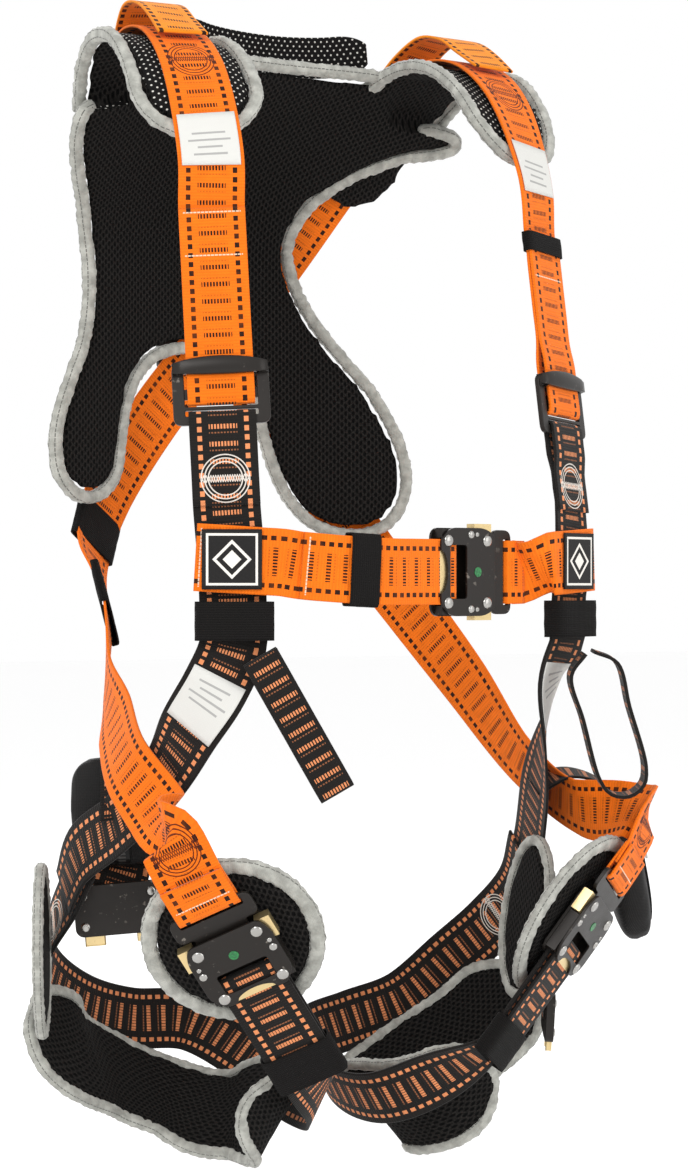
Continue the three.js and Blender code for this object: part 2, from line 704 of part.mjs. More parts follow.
function buckleFront() {
  const window = [WEB_WIDTH - 8, 19, 2, 0, 11];
  const plate = slab(RAIL_OUTSIDE * 2, BUCKLE_LENGTH, 7, SANDWICH, SANDWICH + PLATE, [0, 0], [window]);
  const heads = [];
  for (const x of [-1, 1])
    for (const y of [-1, 1])
      heads.push(
        disc(
          RIVET_RADIUS,
          SANDWICH + PLATE / 2,
          SANDWICH + PLATE + 1.2,
          x * (RAIL_OUTSIDE - RIVET_RADIUS - 2.5),
          y * (BUCKLE_LENGTH / 2 - RIVET_RADIUS - 2.5),
        ),
      );
  return joined([plate, ...heads]);
}

// One release tab; pressed, it slides in towards the tongue by TAB_TRAVEL.
function releaseTab(s) {
  const inner = RAIL_INSIDE - 0.5;
  const outer = RAIL_OUTSIDE + TAB_TRAVEL;
  const y0 = TAB_AT - TAB_LENGTH / 2;
  const y1 = TAB_AT + TAB_LENGTH / 2;
  return s < 0
    ? block(-outer, -inner, y0, y1, -SANDWICH + GAP, SANDWICH - GAP)
    : block(inner, outer, y0, y1, -SANDWICH + GAP, SANDWICH - GAP);
}

// The tongue: a slotted plate that carries the web, and a nose between the release tabs.
function tongue() {
  const half = TONGUE_THICKNESS / 2;
  const head = slab(WEB_WIDTH + 14, 20, 6, -half, half, [0, -TONGUE_REACH + 12], [
    [WEB_WIDTH + 1, 5, 1.5, 0, -TONGUE_REACH + 8],
  ]);
  const nose = slab((RAIL_INSIDE - TAB_TRAVEL - 1.5) * 2, TONGUE_REACH - 20, 3, -half, half, [
    0,
    -TONGUE_REACH / 2 + 4,
  ]);
  return joined([head, nose]);
}

function adjusterBody() {
  const half = ADJUSTER_THICKNESS / 2;
  const windowWidth = WEB_WIDTH + 4;
  const outer = windowWidth / 2 + 8;
  const plate = slab(outer * 2, ADJUSTER_LENGTH, 6, -half, half, [0, 0], [
    [windowWidth, ADJUSTER_WINDOW, 1.5, 0, 0],
  ]);
  const archLow = ADJUSTER_PLY + WEB_THICKNESS / 2 + GAP;
  const top = -ADJUSTER_LENGTH / 2;
  const arch = block(-outer + 1, outer - 1, top + 1, top + 8, archLow, archLow + 3);
  const posts = [-1, 1].map((s) =>
    block(
      s < 0 ? -outer + 1 : windowWidth / 2 + 1,
      s < 0 ? -windowWidth / 2 - 1 : outer - 1,
      top + 1,
      top + 8,
      0,
      archLow + 1,
    ),
  );
  const slot = SLIDE_BAR_WIDTH / 2 + SLIDE_BAR_TRAVEL + GAP;
  const track = block(-outer + 3, outer - 3, -slot, slot, -1.1, 1.1);
  return joined([plate, arch, ...posts], [track]);
}

function slideBar() {
  const reach = WEB_WIDTH / 2 + 5;
  return block(-reach, reach, -SLIDE_BAR_WIDTH / 2, SLIDE_BAR_WIDTH / 2, -0.7, 0.7);
}

// The dorsal plate stands behind the crossing; two cheeks hold the ring's pivot pin.
const PIVOT_Y = 166;
const PIVOT_Z = -168;
const PLATE_Y = 151;

function dorsalPlate() {
  const z = (PIVOT_Z * HARNESS_HEIGHT) / DRAWN.height;
  const plate = slab(DORSAL_WIDTH, DORSAL_HEIGHT, 22, 0, DORSAL_THICKNESS);
  plate.rotateX(Math.PI / 2).translate(0, plateBack(), z - 18);
  const cheekInside = RING_WIDTH / 2 + 1;
  const cheeks = [-1, 1].map((s) =>
    block(
      s < 0 ? -cheekInside - 6 : cheekInside,
      s < 0 ? -cheekInside : cheekInside + 6,
      plateBack() - DORSAL_THICKNESS / 2,
      pivotY() + PIVOT_RADIUS + 3,
      z - 7,
      z + 7,
    ),
  );
  const pin = new THREE.CylinderGeometry(PIVOT_RADIUS, PIVOT_RADIUS, cheekInside * 2 + 4, 12);
  pin.rotateZ(Math.PI / 2).translate(0, pivotY(), z);
  return joined([plate, ...cheeks, pin]);
}

const plateBack = () => at(0, PLATE_Y, 0).y + DORSAL_THICKNESS;
const pivotY = () => plateBack() + PIVOT_Y - PLATE_Y - DORSAL_THICKNESS;

// The D-ring: a flat forged ring with its eye below the pivot tube.
function dorsalRing() {
  const z = (PIVOT_Z * HARNESS_HEIGHT) / DRAWN.height;
  const shape = new THREE.Shape();
  const top = PIVOT_RADIUS + 5;
  const low = -RING_LENGTH + top;
  const half = RING_WIDTH / 2;
  shape.moveTo(-half, top);
  shape.lineTo(-half, low + half);
  shape.absarc(0, low + half, half, Math.PI, Math.PI * 2);
  shape.lineTo(half, top);
  shape.closePath();
  const eye = new THREE.Path();
  const inside = half - RING_STOCK;
  eye.moveTo(-inside, -PIVOT_RADIUS - 5);
  eye.lineTo(inside, -PIVOT_RADIUS - 5);
  eye.lineTo(inside, low + half);
  eye.absarc(0, low + half, inside, 0, Math.PI, true);
  eye.closePath();
  shape.holes.push(eye);
  const ring = new THREE.ExtrudeGeometry(shape, {
    depth: RING_THICKNESS,
    bevelEnabled: false,
    curveSegments: 12,
  });
  ring.rotateX(Math.PI / 2).translate(0, RING_THICKNESS / 2, 0);
  const tube = new THREE.CylinderGeometry(PIVOT_RADIUS + 4, PIVOT_RADIUS + 4, RING_WIDTH, 16);
  const bore = new THREE.CylinderGeometry(PIVOT_RADIUS + 0.4, PIVOT_RADIUS + 0.4, RING_WIDTH + 4, 12);
  tube.rotateZ(Math.PI / 2);
  bore.rotateZ(Math.PI / 2);
  return joined([ring, tube], [bore]).translate(0, pivotY(), z);
}

// ---- Hip fittings ----

const pouchFrame = (s) =>
  s < 0
    ? frameOf(beside([-180, -46, -544], -148, 10, -540), new V3(0.05, 0, -1), new V3(-0.5, -0.86, 0))
    : frameOf(beside([180, -84, -544], 225, -81, -589), new V3(0.3, 0.1, -0.95), new V3(0.85, -0.5, 0.2));

const POUCH = { width: 68, length: 118, thickness: 32 };
const FLAT_POUCH = { width: 76, length: 84, thickness: 24 };
const pouchSize = (s) => (s < 0 ? FLAT_POUCH : POUCH);

function pouch(s) {
  const { width, length, thickness } = pouchSize(s);
  return pillow(width, length, thickness, 0.55).applyMatrix4(pouchFrame(s).matrix);
}

const zipperFrame = (s) => {
  const pouchAt = pouchFrame(s);
  const { length, thickness } = pouchSize(s);
  return frameOf(pouchAt.point(-length * 0.25, 0, thickness / 2 + 1), pouchAt.u, pouchAt.n);
};

function zipperPull(s) {
  const body = slab(8, 12, 2, 0, 4);
  const tab = slab(6, 26, 2, 1, 2.4, [0, 16]);
  return joined([body, tab]).applyMatrix4(zipperFrame(s).matrix);
}

const reliefFrame = (s) =>
  s < 0
    ? frameOf(beside([-191, 14, -596], -154, 2, -608), new V3(0.1, 0, -1), new V3(-0.5, -0.86, 0))
    : frameOf(beside([188, 44, -646], 182, -46, -700), new V3(0, 0.1, -1), new V3(0.8, -0.5, 0));

function reliefBuckle(s) {
  const plate = slab(62, 36, 6, -3, 3);
  const tabs = [-1, 1].map((x) => block(x * 18 - 6, x * 18 + 6, 14, 23, -1.2, 1.2));
  return joined([plate, ...tabs]).applyMatrix4(reliefFrame(s).matrix);
}

// ---- Assembly ----

function addBuckle(prefix, frame) {
  const put = (name, shape, color, roughness, metalness) =>
    add(prefix + name, shape.applyMatrix4(frame.matrix), color, roughness, metalness);
  put("_buckle_body", buckleBody(), SATIN_BLACK, 0.4, 0.6);
  put("_buckle_front_plate", buckleFront(), SATIN_BLACK, 0.35, 0.6);
  put("_release_tab_a", releaseTab(-1), BRASS, 0.35, 0.9);
  put("_release_tab_b", releaseTab(1), BRASS, 0.35, 0.9);
  put("_buckle_tongue", tongue(), SATIN_BLACK, 0.4, 0.6);
}

for (const { side, s } of SIDES) {
  const adjuster = adjusterFrame(s).matrix;
  add(side + "_shoulder_web", ribbon(crossWebStops(s), WEB_WIDTH, WEB_THICKNESS), ORANGE);
  add(side + "_front_web", frontWeb(s), BLACK_WEB);
  add(side + "_leg_web", legWeb(s), BLACK_WEB);
  add(side + "_adjuster_frame", adjusterBody().applyMatrix4(adjuster), SATIN_BLACK, 0.35, 0.5);
  add(side + "_adjuster_bar", slideBar().applyMatrix4(adjuster), SATIN_BLACK, 0.35, 0.5);
  add(side + "_front_keeper", sleeve(frontKeeperFrame(s), WEB_WIDTH + 5, 3.5 + WEB_WIDTH / 10, 26), BLACK_WEB);
  add(side + "_arrest_loop", arrestLoop(s), BLACK_WEB);
  add(side + "_shoulder_loop", shoulderLoop(s), ORANGE);
  add(side + "_chest_patch", patch(s), MESH_BLACK);
  add(side + "_shoulder_label", shoulderLabel(s), LABEL, 0.6);
  add(side + "_leg_pad", legPad(s), MESH_BLACK);
  add(side + "_buckle_pad", backingPad(s), MESH_BLACK);
  add(side + "_hip_pad", hipPad(s), MESH_BLACK);
  add(side + "_hip_pouch", pouch(s), MESH_BLACK, 0.9);
  add(side + "_zipper_slider", zipperPull(s), SATIN_BLACK, 0.4, 0.5);
  add(side + "_relief_buckle", reliefBuckle(s), SATIN_BLACK, 0.4, 0.6);
  addBuckle(side + "_leg", legBuckleFrame(s));
}

add("right_chest_web", chestWebRight(), ORANGE);
add("left_chest_web", chestWebLeft(), ORANGE);
add("chest_keeper", sleeve(chestKeeperFrame(), WEB_WIDTH + 2, 5.6, 22), BLACK_WEB);
addBuckle("chest", chestBuckleFrame());
add("yoke_pad", yokePad(), MESH_BLACK);
add("neck_collar", ribbon(collarStops(), COLLAR_HEIGHT, PAD_THICKNESS), MESH_BLACK);
add("dorsal_plate", dorsalPlate(), SATIN_BLACK, 0.5, 0);
add("dorsal_ring", dorsalRing(), STEEL, 0.3, 1);

export default group;
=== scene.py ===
# %% [markdown]
# A full-body fall-arrest harness, as it hangs on an unseen wearer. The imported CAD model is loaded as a
# fixed frame. Metal pieces keep their CAD shapes and get finishes; everything woven, padded or sewn is
# made here, at the CAD's own places, because cloth needs curves and seams that the CAD leaves out.

# %% Load the frame
import math

import bmesh
import bpy
import numpy as np
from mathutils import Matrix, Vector, noise


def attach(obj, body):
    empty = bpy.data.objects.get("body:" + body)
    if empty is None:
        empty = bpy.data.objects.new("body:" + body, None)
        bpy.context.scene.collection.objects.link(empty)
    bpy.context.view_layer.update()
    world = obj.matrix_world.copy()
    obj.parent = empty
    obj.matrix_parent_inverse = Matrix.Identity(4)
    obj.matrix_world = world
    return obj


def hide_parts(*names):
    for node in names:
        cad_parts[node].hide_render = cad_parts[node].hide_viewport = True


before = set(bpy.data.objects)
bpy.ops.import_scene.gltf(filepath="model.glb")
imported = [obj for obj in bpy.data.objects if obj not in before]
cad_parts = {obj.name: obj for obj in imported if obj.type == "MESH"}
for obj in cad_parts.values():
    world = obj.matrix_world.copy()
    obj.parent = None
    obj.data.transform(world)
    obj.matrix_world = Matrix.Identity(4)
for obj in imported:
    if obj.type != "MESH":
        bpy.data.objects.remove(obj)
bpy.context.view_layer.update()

# %% [markdown]
# The camera comes first. It stands two metres away, level with the waist and a little to the wearer's
# right, with a long lens, so that the near and the far straps keep almost the same scale.

# %% Camera
CAMERA_PLACE = (-1.0159, -1.7411, -0.38)
CAMERA_TURN = math.radians(-31)
SENSOR_HEIGHT, LENS = 36, 84.6
camera = bpy.data.objects.new("camera", bpy.data.cameras.new("camera"))
camera.data.sensor_fit = "VERTICAL"
camera.data.sensor_height = SENSOR_HEIGHT
camera.data.lens = LENS
camera.location = CAMERA_PLACE
camera.rotation_euler = (math.radians(90), 0, CAMERA_TURN)
bpy.context.scene.collection.objects.link(camera)
bpy.context.scene.camera = camera
print("camera stands at", tuple(round(c, 3) for c in camera.location))

# %% [markdown]
# Shader maths reads best as ordinary expressions. A Signal wraps one socket and turns + - * / and the
# comparisons into Math nodes; a Finish is a material with one method that makes any other node.

# %% Shader helpers
class Signal:
    def __init__(self, finish, socket):
        self.finish = finish
        self.socket = socket

    def math(self, operation, *others):
        return self.finish.node("ShaderNodeMath", {"operation": operation}, dict(enumerate((self, *others))))

    def __add__(self, other):
        return self.math("ADD", other)

    __radd__ = __add__

    def __sub__(self, other):
        return self.math("SUBTRACT", other)

    def __rsub__(self, other):
        return self.finish.number("SUBTRACT", other, self)

    def __mul__(self, other):
        return self.math("MULTIPLY", other)

    __rmul__ = __mul__

    def __truediv__(self, other):
        return self.math("DIVIDE", other)

    def __mod__(self, other):
        return self.math("FLOORED_MODULO", other)

    def __lt__(self, other):
        return self.math("LESS_THAN", other)

    def __gt__(self, other):
        return self.math("GREATER_THAN", other)

    def __abs__(self):
        return self.math("ABSOLUTE")

    def wave(self, pitch):
        return (self * (2 * math.pi / pitch)).math("SINE") * 0.5 + 0.5

    def soft(self, low, high):
        settings = {"interpolation_type": "SMOOTHSTEP"}
        return self.finish.node("ShaderNodeMapRange", settings, {0: self, 1: low, 2: high})


class Finish:
    def __init__(self, name, **constants):
        self.material = bpy.data.materials.new(name)
        self.material.use_nodes = True
        self.tree = self.material.node_tree
        self.shader = self.tree.nodes["Principled BSDF"]
        self.constants(**constants)

    def constants(self, **values):
        for name, value in values.items():
            self.shader.inputs[name.replace("_", " ")].default_value = value

    def node(self, kind, settings=None, sockets=None, output=0):
        made = self.tree.nodes.new(kind)
        for name, value in (settings or {}).items():
            setattr(made, name, value)
        for name, value in (sockets or {}).items():
            if isinstance(value, Signal):
                self.tree.links.new(value.socket, made.inputs[name])
            else:
                made.inputs[name].default_value = value
        return Signal(self, made.outputs[output])

    def number(self, operation, *values):
        return self.node("ShaderNodeMath", {"operation": operation}, dict(enumerate(values)))

    def place(self, source="Object"):
        """The place on the object or in its map, whole and as separate axes."""
        where = self.node("ShaderNodeTexCoord", output=source)
        axes = self.node("ShaderNodeSeparateXYZ", sockets={0: where}).socket.node.outputs
        return where, [Signal(self, socket) for socket in axes]

    def cloth(self):
        """The place in the cloth's map in metres: whole, across the band and along it."""
        where, (u, v, _) = self.place("UV")
        return where, u, v

    def noise(self, where, scale, detail=2.0):
        return self.node("ShaderNodeTexNoise", sockets={"Vector": where, "Scale": scale, "Detail": detail})

    def mix(self, share, first, second):
        return self.node("ShaderNodeMix", {"data_type": "RGBA"}, {0: share, 6: first, 7: second}, output=2)

    def bump(self, height, distance, strength=1.0):
        sockets = {"Height": height, "Distance": distance, "Strength": strength}
        self.drive(Normal=self.node("ShaderNodeBump", sockets=sockets))

    def drive(self, **signals):
        for name, signal in signals.items():
            self.tree.links.new(signal.socket, self.shader.inputs[name.replace("_", " ")])


def colour(red, green, blue):
    """An everyday 0-255 colour as the linear values that a shader takes."""
    linear = [((c / 255 + 0.055) / 1.055) ** 2.4 if c > 10 else c / 255 / 12.92 for c in (red, green, blue)]
    return (*linear, 1.0)


def shaded(paint, share):
    """The same colour with only this share of its light."""
    return (*[c * share for c in paint[:3]], 1)


print("shader helpers are ready")

# %% [markdown]
# Every strap is a flat band bent along a route. A route is a list of stops, each a point in millimetres
# and the way the band's face looks there. A centripetal Catmull-Rom curve joins them, because it passes
# through each stop without loops, and it is the same curve as the CAD's, so the straps stay in place.

# %% Routes and fitting frames
MM = 0.001
WEB_WIDTH = 45
WEB_THICKNESS = 1.8
PLY_PITCH = 2.4


def stop(x, y, z, nx, ny, nz):
    return Vector((x, y, z)), Vector((nx, ny, nz)).normalized()


def lifted(place, distance):
    return place[0] + place[1] * distance, place[1]


def flipped(place):
    return place[0], -place[1]


class Fitting:
    """A frame at a fitting: u runs along the strap, n out of its face and v across."""

    def __init__(self, origin, along, out):
        self.origin = Vector(origin)
        self.u = Vector(along).normalized()
        out = Vector(out)
        self.n = (out - self.u * out.dot(self.u)).normalized()
        self.v = self.u.cross(self.n)

    def point(self, along, across=0.0, out=0.0):
        return self.origin + self.u * along + self.v * across + self.n * out

    def ply(self, along, out, face):
        """A stop of a strap that lies along this frame."""
        return self.point(along, 0, out), self.n * face

    def hairpin(self, turn_at, radius, away):
        """Stops of a half turn round a bar."""
        stops = []
        for degrees in (0, 45, 90, 135, 180):
            along = -away * math.sin(math.radians(degrees))
            out = -math.cos(math.radians(degrees))
            place = self.point(turn_at + radius * along, 0, radius * out)
            stops.append((place, self.u * along + self.n * out))
        return stops


def curve_point(points, place):
    """A point of the centripetal Catmull-Rom curve; place counts stops and shares of the gap."""
    last = len(points) - 1
    i = min(int(place), last - 1)
    share = place - i
    second, third = points[i], points[i + 1]
    first = points[i - 1] if i else second * 2 - third
    fourth = points[i + 2] if i + 2 <= last else third * 2 - second
    gaps = [math.sqrt((b - a).length) for a, b in ((first, second), (second, third), (third, fourth))]
    gaps[1] = gaps[1] if gaps[1] > 1e-4 else 1.0
    gaps = [gap if gap > 1e-4 else gaps[1] for gap in gaps]
    a, b, c = gaps
    leave = ((second - first) / a - (third - first) / (a + b) + (third - second) / b) * b
    arrive = ((third - second) / b - (fourth - second) / (b + c) + (fourth - third) / c) * b
    cubic = second * 2 - third * 2 + leave + arrive
    square = third * 3 - second * 3 - leave * 2 - arrive
    return second + leave * share + square * share**2 + cubic * share**3


def route_rows(stops, step=5.0, start=0.0, end=None, lift=0.0):
    """Rows along a route: centre, across, out, distance from the first row, and place."""
    end = len(stops) - 1 if end is None else end
    points = [place for place, face in stops]
    faces = [face for place, face in stops]
    marks = [start, *range(math.floor(start) + 1, math.ceil(end)), end]
    places = []
    for a, b in zip(marks, marks[1:]):
        parts = max(1, round((curve_point(points, b) - curve_point(points, a)).length / step))
        places += [a + (b - a) * k / parts for k in range(parts)]
    places.append(end)
    rows = []
    for place in places:
        ahead = curve_point(points, min(place + 0.01, len(stops) - 1))
        behind = curve_point(points, max(place - 0.01, 0))
        fitting = Fitting(curve_point(points, place), ahead - behind, curve_point(faces, place))
        centre = fitting.origin + fitting.n * lift
        distance = rows[-1][3] + (centre - rows[-1][0]).length if rows else 0.0
        rows.append((centre, fitting.v, fitting.n, distance, place))
    return rows


def distance_at(rows, place):
    return min(rows, key=lambda row: abs(row[4] - place))[3]


ADJUSTER = {
    s: Fitting((s * 139, -122, -252), (s * 0.026, -0.153, -0.988), (s * 0.45, -0.89, 0)) for s in (-1, 1)
}
LEG_BUCKLE = {
    s: Fitting((s * 138, -146, -628), (-s * 0.6, 0.15, -0.785), (s * 0.5, -0.8, -0.3)) for s in (-1, 1)
}
CHEST_BUCKLE = Fitting((36, -150, -371), (-0.975, -0.22, 0), (0.22, -0.975, 0))
SIDE = {-1: "right", 1: "left"}
print("leg buckles stand", round((LEG_BUCKLE[1].origin - LEG_BUCKLE[-1].origin).length), "mm apart")

# %% [markdown]
# A band could be a curve with a bevel profile, but then its weave would not follow its length. Here a
# flat grid is moved row by row onto the route, and its UV map is the cloth itself, in metres: across
# the band and along it. A Solidify modifier gives the thickness. Slow noise lifts it by a hair, so that
# it hangs like cloth and not like card.

# %% Bands of cloth
COLLECTION = bpy.context.scene.collection
ACROSS = (-1, -0.95, -0.75, -0.4, 0, 0.4, 0.75, 0.95, 1)


def finished(name, bm, materials, body="root", smooth=True):
    mesh = bpy.data.meshes.new(name)
    for face in bm.faces:
        face.smooth = smooth
    bm.to_mesh(mesh)
    bm.free()
    made = bpy.data.objects.new(name, mesh)
    COLLECTION.objects.link(made)
    for material in materials:
        mesh.materials.append(material)
    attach(made, body)
    return made


def band_mesh(rows, width, ripple, seed):
    bm = bmesh.new()
    columns, count = len(ACROSS), len(rows)
    bmesh.ops.create_grid(bm, x_segments=columns - 1, y_segments=count - 1, size=1)
    layer = bm.loops.layers.uv.new("cloth")
    for vert in bm.verts:
        i = round((vert.co.x + 1) / 2 * (columns - 1))
        j = round((vert.co.y + 1) / 2 * (count - 1))
        centre, side, out, distance = rows[j][:4]
        half = width[j] / 2 if isinstance(width, list) else width / 2
        offset = ACROSS[i] * half
        drift = noise.noise(Vector((offset * 0.03, distance * 0.018, seed))) * ripple
        vert.co = (centre + side * offset + out * drift) * MM
        for loop in vert.link_loops:
            loop[layer].uv = (offset * MM, distance * MM)
    bmesh.ops.recalc_face_normals(bm, faces=bm.faces)
    middle = bm.faces[len(bm.faces) // 2]
    nearest = min(rows, key=lambda row: (row[0] * MM - middle.calc_center_median()).length)
    if middle.normal.dot(nearest[2]) < 0:
        bmesh.ops.reverse_faces(bm, faces=bm.faces)
    return bm


def band(name, stops, materials, width=WEB_WIDTH, thickness=WEB_THICKNESS, body="root",
         replaces=None, ripple=0.35, step=5.0):
    """A strap from stops or from ready rows; width may be one number or one for each row."""
    rows = stops if len(stops[0]) == 5 else route_rows(stops, step)
    bm = band_mesh(rows, width, ripple, seed=len(name) * 1.7)
    made = finished(name, bm, materials, body)
    solid = made.modifiers.new("thickness", "SOLIDIFY")
    solid.thickness = thickness * MM
    solid.offset = 0
    solid.use_even_offset = False
    if replaces:
        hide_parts(replaces)
    widest = max(width) if isinstance(width, list) else width
    print(f"{name}: {rows[-1][3]:.0f} mm long, {widest:.0f} wide")
    return made


# %% [markdown]
# Harness webbing is woven polyester. Its weft shows as fine ribs across the band, a dashed tracer runs
# near each edge, and a ladder of short floats runs up the middle, which shows wear. All of that is
# pattern in the UV map, so it bends with the band. The round lock stitches where two bands are sewn
# together follow the same map: three rings of thread and a zigzag bar through them.

# %% Webbing
RIB_PITCH, WARP_PITCH, FLOAT_PITCH = 0.0021, 0.0013, 0.0021
LADDER_PITCH, LADDER_HALF = 0.0118, 0.0095
DASH_PITCH, DASH_LENGTH, DASH_FROM_MIDDLE = 0.0062, 0.0036, 0.0158
RING_FROM, RING_TO, RING_PITCH = 0.0102, 0.0174, 0.0024


def webbing(name, ground, tracer, thread, stitches=(), hems=(), solid_ladder=False):
    """One strap's cloth. Stitches are the middles of its stitched rings and hems its lines of
    thread, both in metres along the strap."""
    finish = Finish(name, Roughness=0.78, Sheen_Weight=0.08, Sheen_Roughness=0.5, Specular_IOR_Level=0.14)
    where, u, v = finish.cloth()
    spot = finish.noise(where, 90.0, 3.0)
    cloud = finish.noise(where, 14.0, 2.0)
    rib = v.wave(RIB_PITCH)
    warp = u.wave(WARP_PITCH)
    ladder_row = abs(v % LADDER_PITCH - LADDER_PITCH / 2) < 0.0016
    faint_row = abs((v + 0.0042) % LADDER_PITCH - LADDER_PITCH / 2) < 0.0005
    threads = abs(u % FLOAT_PITCH - FLOAT_PITCH / 2) < (0.00082 if solid_ladder else 0.00062)
    inside = abs(u) < LADDER_HALF
    ladder = ladder_row * threads * inside
    faint = faint_row * threads * inside * 0.35
    dashes = (abs(abs(u) - DASH_FROM_MIDDLE) < 0.00155) * (v % DASH_PITCH < DASH_LENGTH)
    marks = (ladder + faint).math("MAXIMUM", dashes)
    lit = finish.mix(spot.soft(0.25, 0.75), shaded(ground, 0.82), ground)
    clouded = finish.mix(cloud.soft(0.3, 0.7), lit, shaded(ground, 0.82))
    ribbed = finish.mix(rib * 0.34, clouded, shaded(ground, 0.55))
    frayed = marks * (spot * 0.5 + 0.72).math("MINIMUM", 1.0)
    tinted = finish.mix(frayed, ribbed, tracer)
    height = rib * 0.35 + warp * 0.2 + marks * 0.35 + spot * 0.2
    sewn = None
    for centre in stitches:
        ahead = v - centre
        reach = (u * u + ahead * ahead).math("SQRT")
        rings = abs((reach - RING_FROM) % RING_PITCH - RING_PITCH / 2) < 0.00042
        rings = rings * (reach > RING_FROM) * (reach < RING_TO)
        teeth = abs(abs((u % 0.0016 - 0.0008) * 3.0) - abs(ahead)) < 0.0009
        bar = teeth * (abs(ahead) < 0.0026) * (abs(u) < DASH_FROM_MIDDLE)
        sewn = (rings + bar).math("MINIMUM", 1.0) if sewn is None else sewn.math("MAXIMUM", rings + bar)
    if sewn is not None:
        tinted = finish.mix(sewn * 0.92, tinted, thread)
        height = height + sewn * 0.9
    for line in hems:
        run = (abs(v - line) < 0.0005) * (u % 0.0026 < 0.0021) * (abs(u) < 0.0195)
        tinted = finish.mix(run * 0.8, tinted, HEM_THREAD)
        height = height + run
    finish.drive(Base_Color=tinted)
    finish.bump(height, 0.0006, 0.7)
    return finish.material


ORANGE = colour(255, 122, 18)
BLACK = colour(30, 27, 25)
PEACH = colour(222, 140, 92)
TRACER = colour(42, 20, 10)
WHITE_THREAD = colour(222, 214, 204)
HEM_THREAD = colour(240, 214, 190)
DARK_THREAD = colour(80, 24, 8)
print("webbing weave: ribs 2.1 mm apart, tracer dashes 6.2 mm apart, ladder 11.8 mm apart")

# %% [markdown]
# The two long orange straps start as a folded tail on the chest, pass through the torso adjuster, go
# over the shoulder, cross on the back behind the dorsal ring and end, sewn to a tongue, at the leg
# buckle of the other side. Each is one unbroken band, so it is one mesh.

# %% Long shoulder straps
def cross_web_stops(s):
    adjuster, buckle = ADJUSTER[s], LEG_BUCKLE[-s]
    back = 0 if s < 0 else 3.4
    stops = [adjuster.ply(a, 1.2, 1) for a in (-128, -100, -70, -48)]
    stops += [adjuster.ply(a, 3.1, 1) for a in (-32, -14)]
    stops += adjuster.hairpin(3.7, 3.1, -1)[::-1]
    stops += [adjuster.ply(a, -3.1, -1) for a in (-14, -32)]
    stops += [adjuster.ply(a, -1.2, -1) for a in (-48, -70, -100, -128)]
    over = [
        stop(s * 134, -98, -88, s * 0.4, -0.88, 0.2),
        stop(s * 131, -66, -22, s * 0.2, -0.8, 0.55),
        stop(s * 128, -28, 8, s * 0.05, -0.35, 0.93),
        stop(s * 124, 14, 13, 0, 0.1, 1),
        stop(s * 113, 62, -10, 0, 0.7, 0.7),
        stop(s * 90, 108, -62, s * 0.1, 0.92, 0.38),
        stop(s * 50, 138 + back, -132, 0, 1, 0.1),
        stop(0, 142 + back, -190, 0, 1, 0),
        stop(-s * 55, 138 + back, -252, -s * 0.08, 1, 0),
        stop(-s * 102, 130, -318, -s * 0.25, 0.97, 0),
        stop(-s * 122, 110, -358, -s * 0.5, 0.86, 0),
    ]
    if s < 0:
        over += [
            stop(132, 66, -400, 0.8, 0.6, 0),
            stop(150, 20, -453, 0.95, 0.3, 0),
            stop(168, -30, -512, 0.95, -0.1, 0.1),
            stop(180, -84, -544, 0.9, -0.35, 0.15),
        ]
    else:
        over += [
            stop(-132, 66, -400, -0.8, 0.6, 0),
            stop(-154, 20, -450, -0.95, 0.3, 0),
            stop(-168, -20, -474, -0.95, -0.1, 0.2),
            stop(-183, -68, -502, -0.9, -0.4, 0.1),
            stop(-180, -110, -532, -0.65, -0.75, 0.1),
        ]
    over += [buckle.ply(-98, -10, 1), buckle.ply(-74, -1.5, 1), buckle.ply(-54, 0, 1)]
    return stops + [flipped(place) for place in over]


for s in (-1, 1):
    stops = cross_web_stops(s)
    rows = route_rows(stops)
    total = rows[-1][3]
    circles = [distance_at(rows, 18.1) * MM, (total - 38) * MM]
    hems = [0.003, 0.033, (total - 16) * MM]
    cloth = webbing(f"orange_webbing_{SIDE[s]}", ORANGE, TRACER, DARK_THREAD, circles, hems)
    band(f"{SIDE[s]}_shoulder_strap", rows, [cloth], ripple=0.2,
         replaces=f"{SIDE[s]}_shoulder_web")

# %% [markdown]
# The black chest straps hang from the torso adjusters and run out to the hips; the leg straps go on
# from there round the thighs and turn round the bar of each leg buckle.

# %% Chest and leg straps
def chest_stop(s):
    return stop(s * 139, -136, -363, s * 0.4, -0.92, 0)


def front_stops(s):
    stops = [chest_stop(s), stop(s * 137, -135, -392, s * 0.4, -0.92, 0)]
    if s < 0:
        return stops + [
            stop(-137, -135, -420, -0.4, -0.92, 0),
            stop(-149, -132, -448, -0.5, -0.85, 0.1),
            stop(-160, -116, -476, -0.75, -0.65, 0.1),
            stop(-165, -86, -510, -0.92, -0.3, 0.1),
            stop(-180, -46, -544, -0.97, -0.1, 0.1),
            stop(-190, -8, -568, -1, 0.05, 0),
            stop(-191, 14, -596, -0.98, 0.2, 0),
        ]
    return stops + [
        stop(136, -134, -420, 0.4, -0.92, 0),
        stop(130, -124, -446, 0.5, -0.86, 0),
        stop(138, -104, -488, 0.8, -0.6, 0.1),
        stop(156, -66, -532, 0.93, -0.25, 0.2),
        stop(180, -22, -582, 0.96, -0.1, 0.1),
        stop(194, 8, -614, 0.98, 0.2, 0),
    ]


def front_web_stops(s):
    adjuster = ADJUSTER[s]
    stops = [adjuster.ply(a, 1.2, 1) for a in (76, 60, 48)]
    stops += [adjuster.ply(a, 3.1, 1) for a in (36, 26)]
    stops += adjuster.hairpin(15.4, 3.1, 1)[::-1]
    stops += [adjuster.ply(a, -3.1, -1) for a in (26, 36)]
    stops += [adjuster.ply(a, -1.2, -1) for a in (48, 60, 76)]
    return stops + [flipped(place) for place in front_stops(s)]


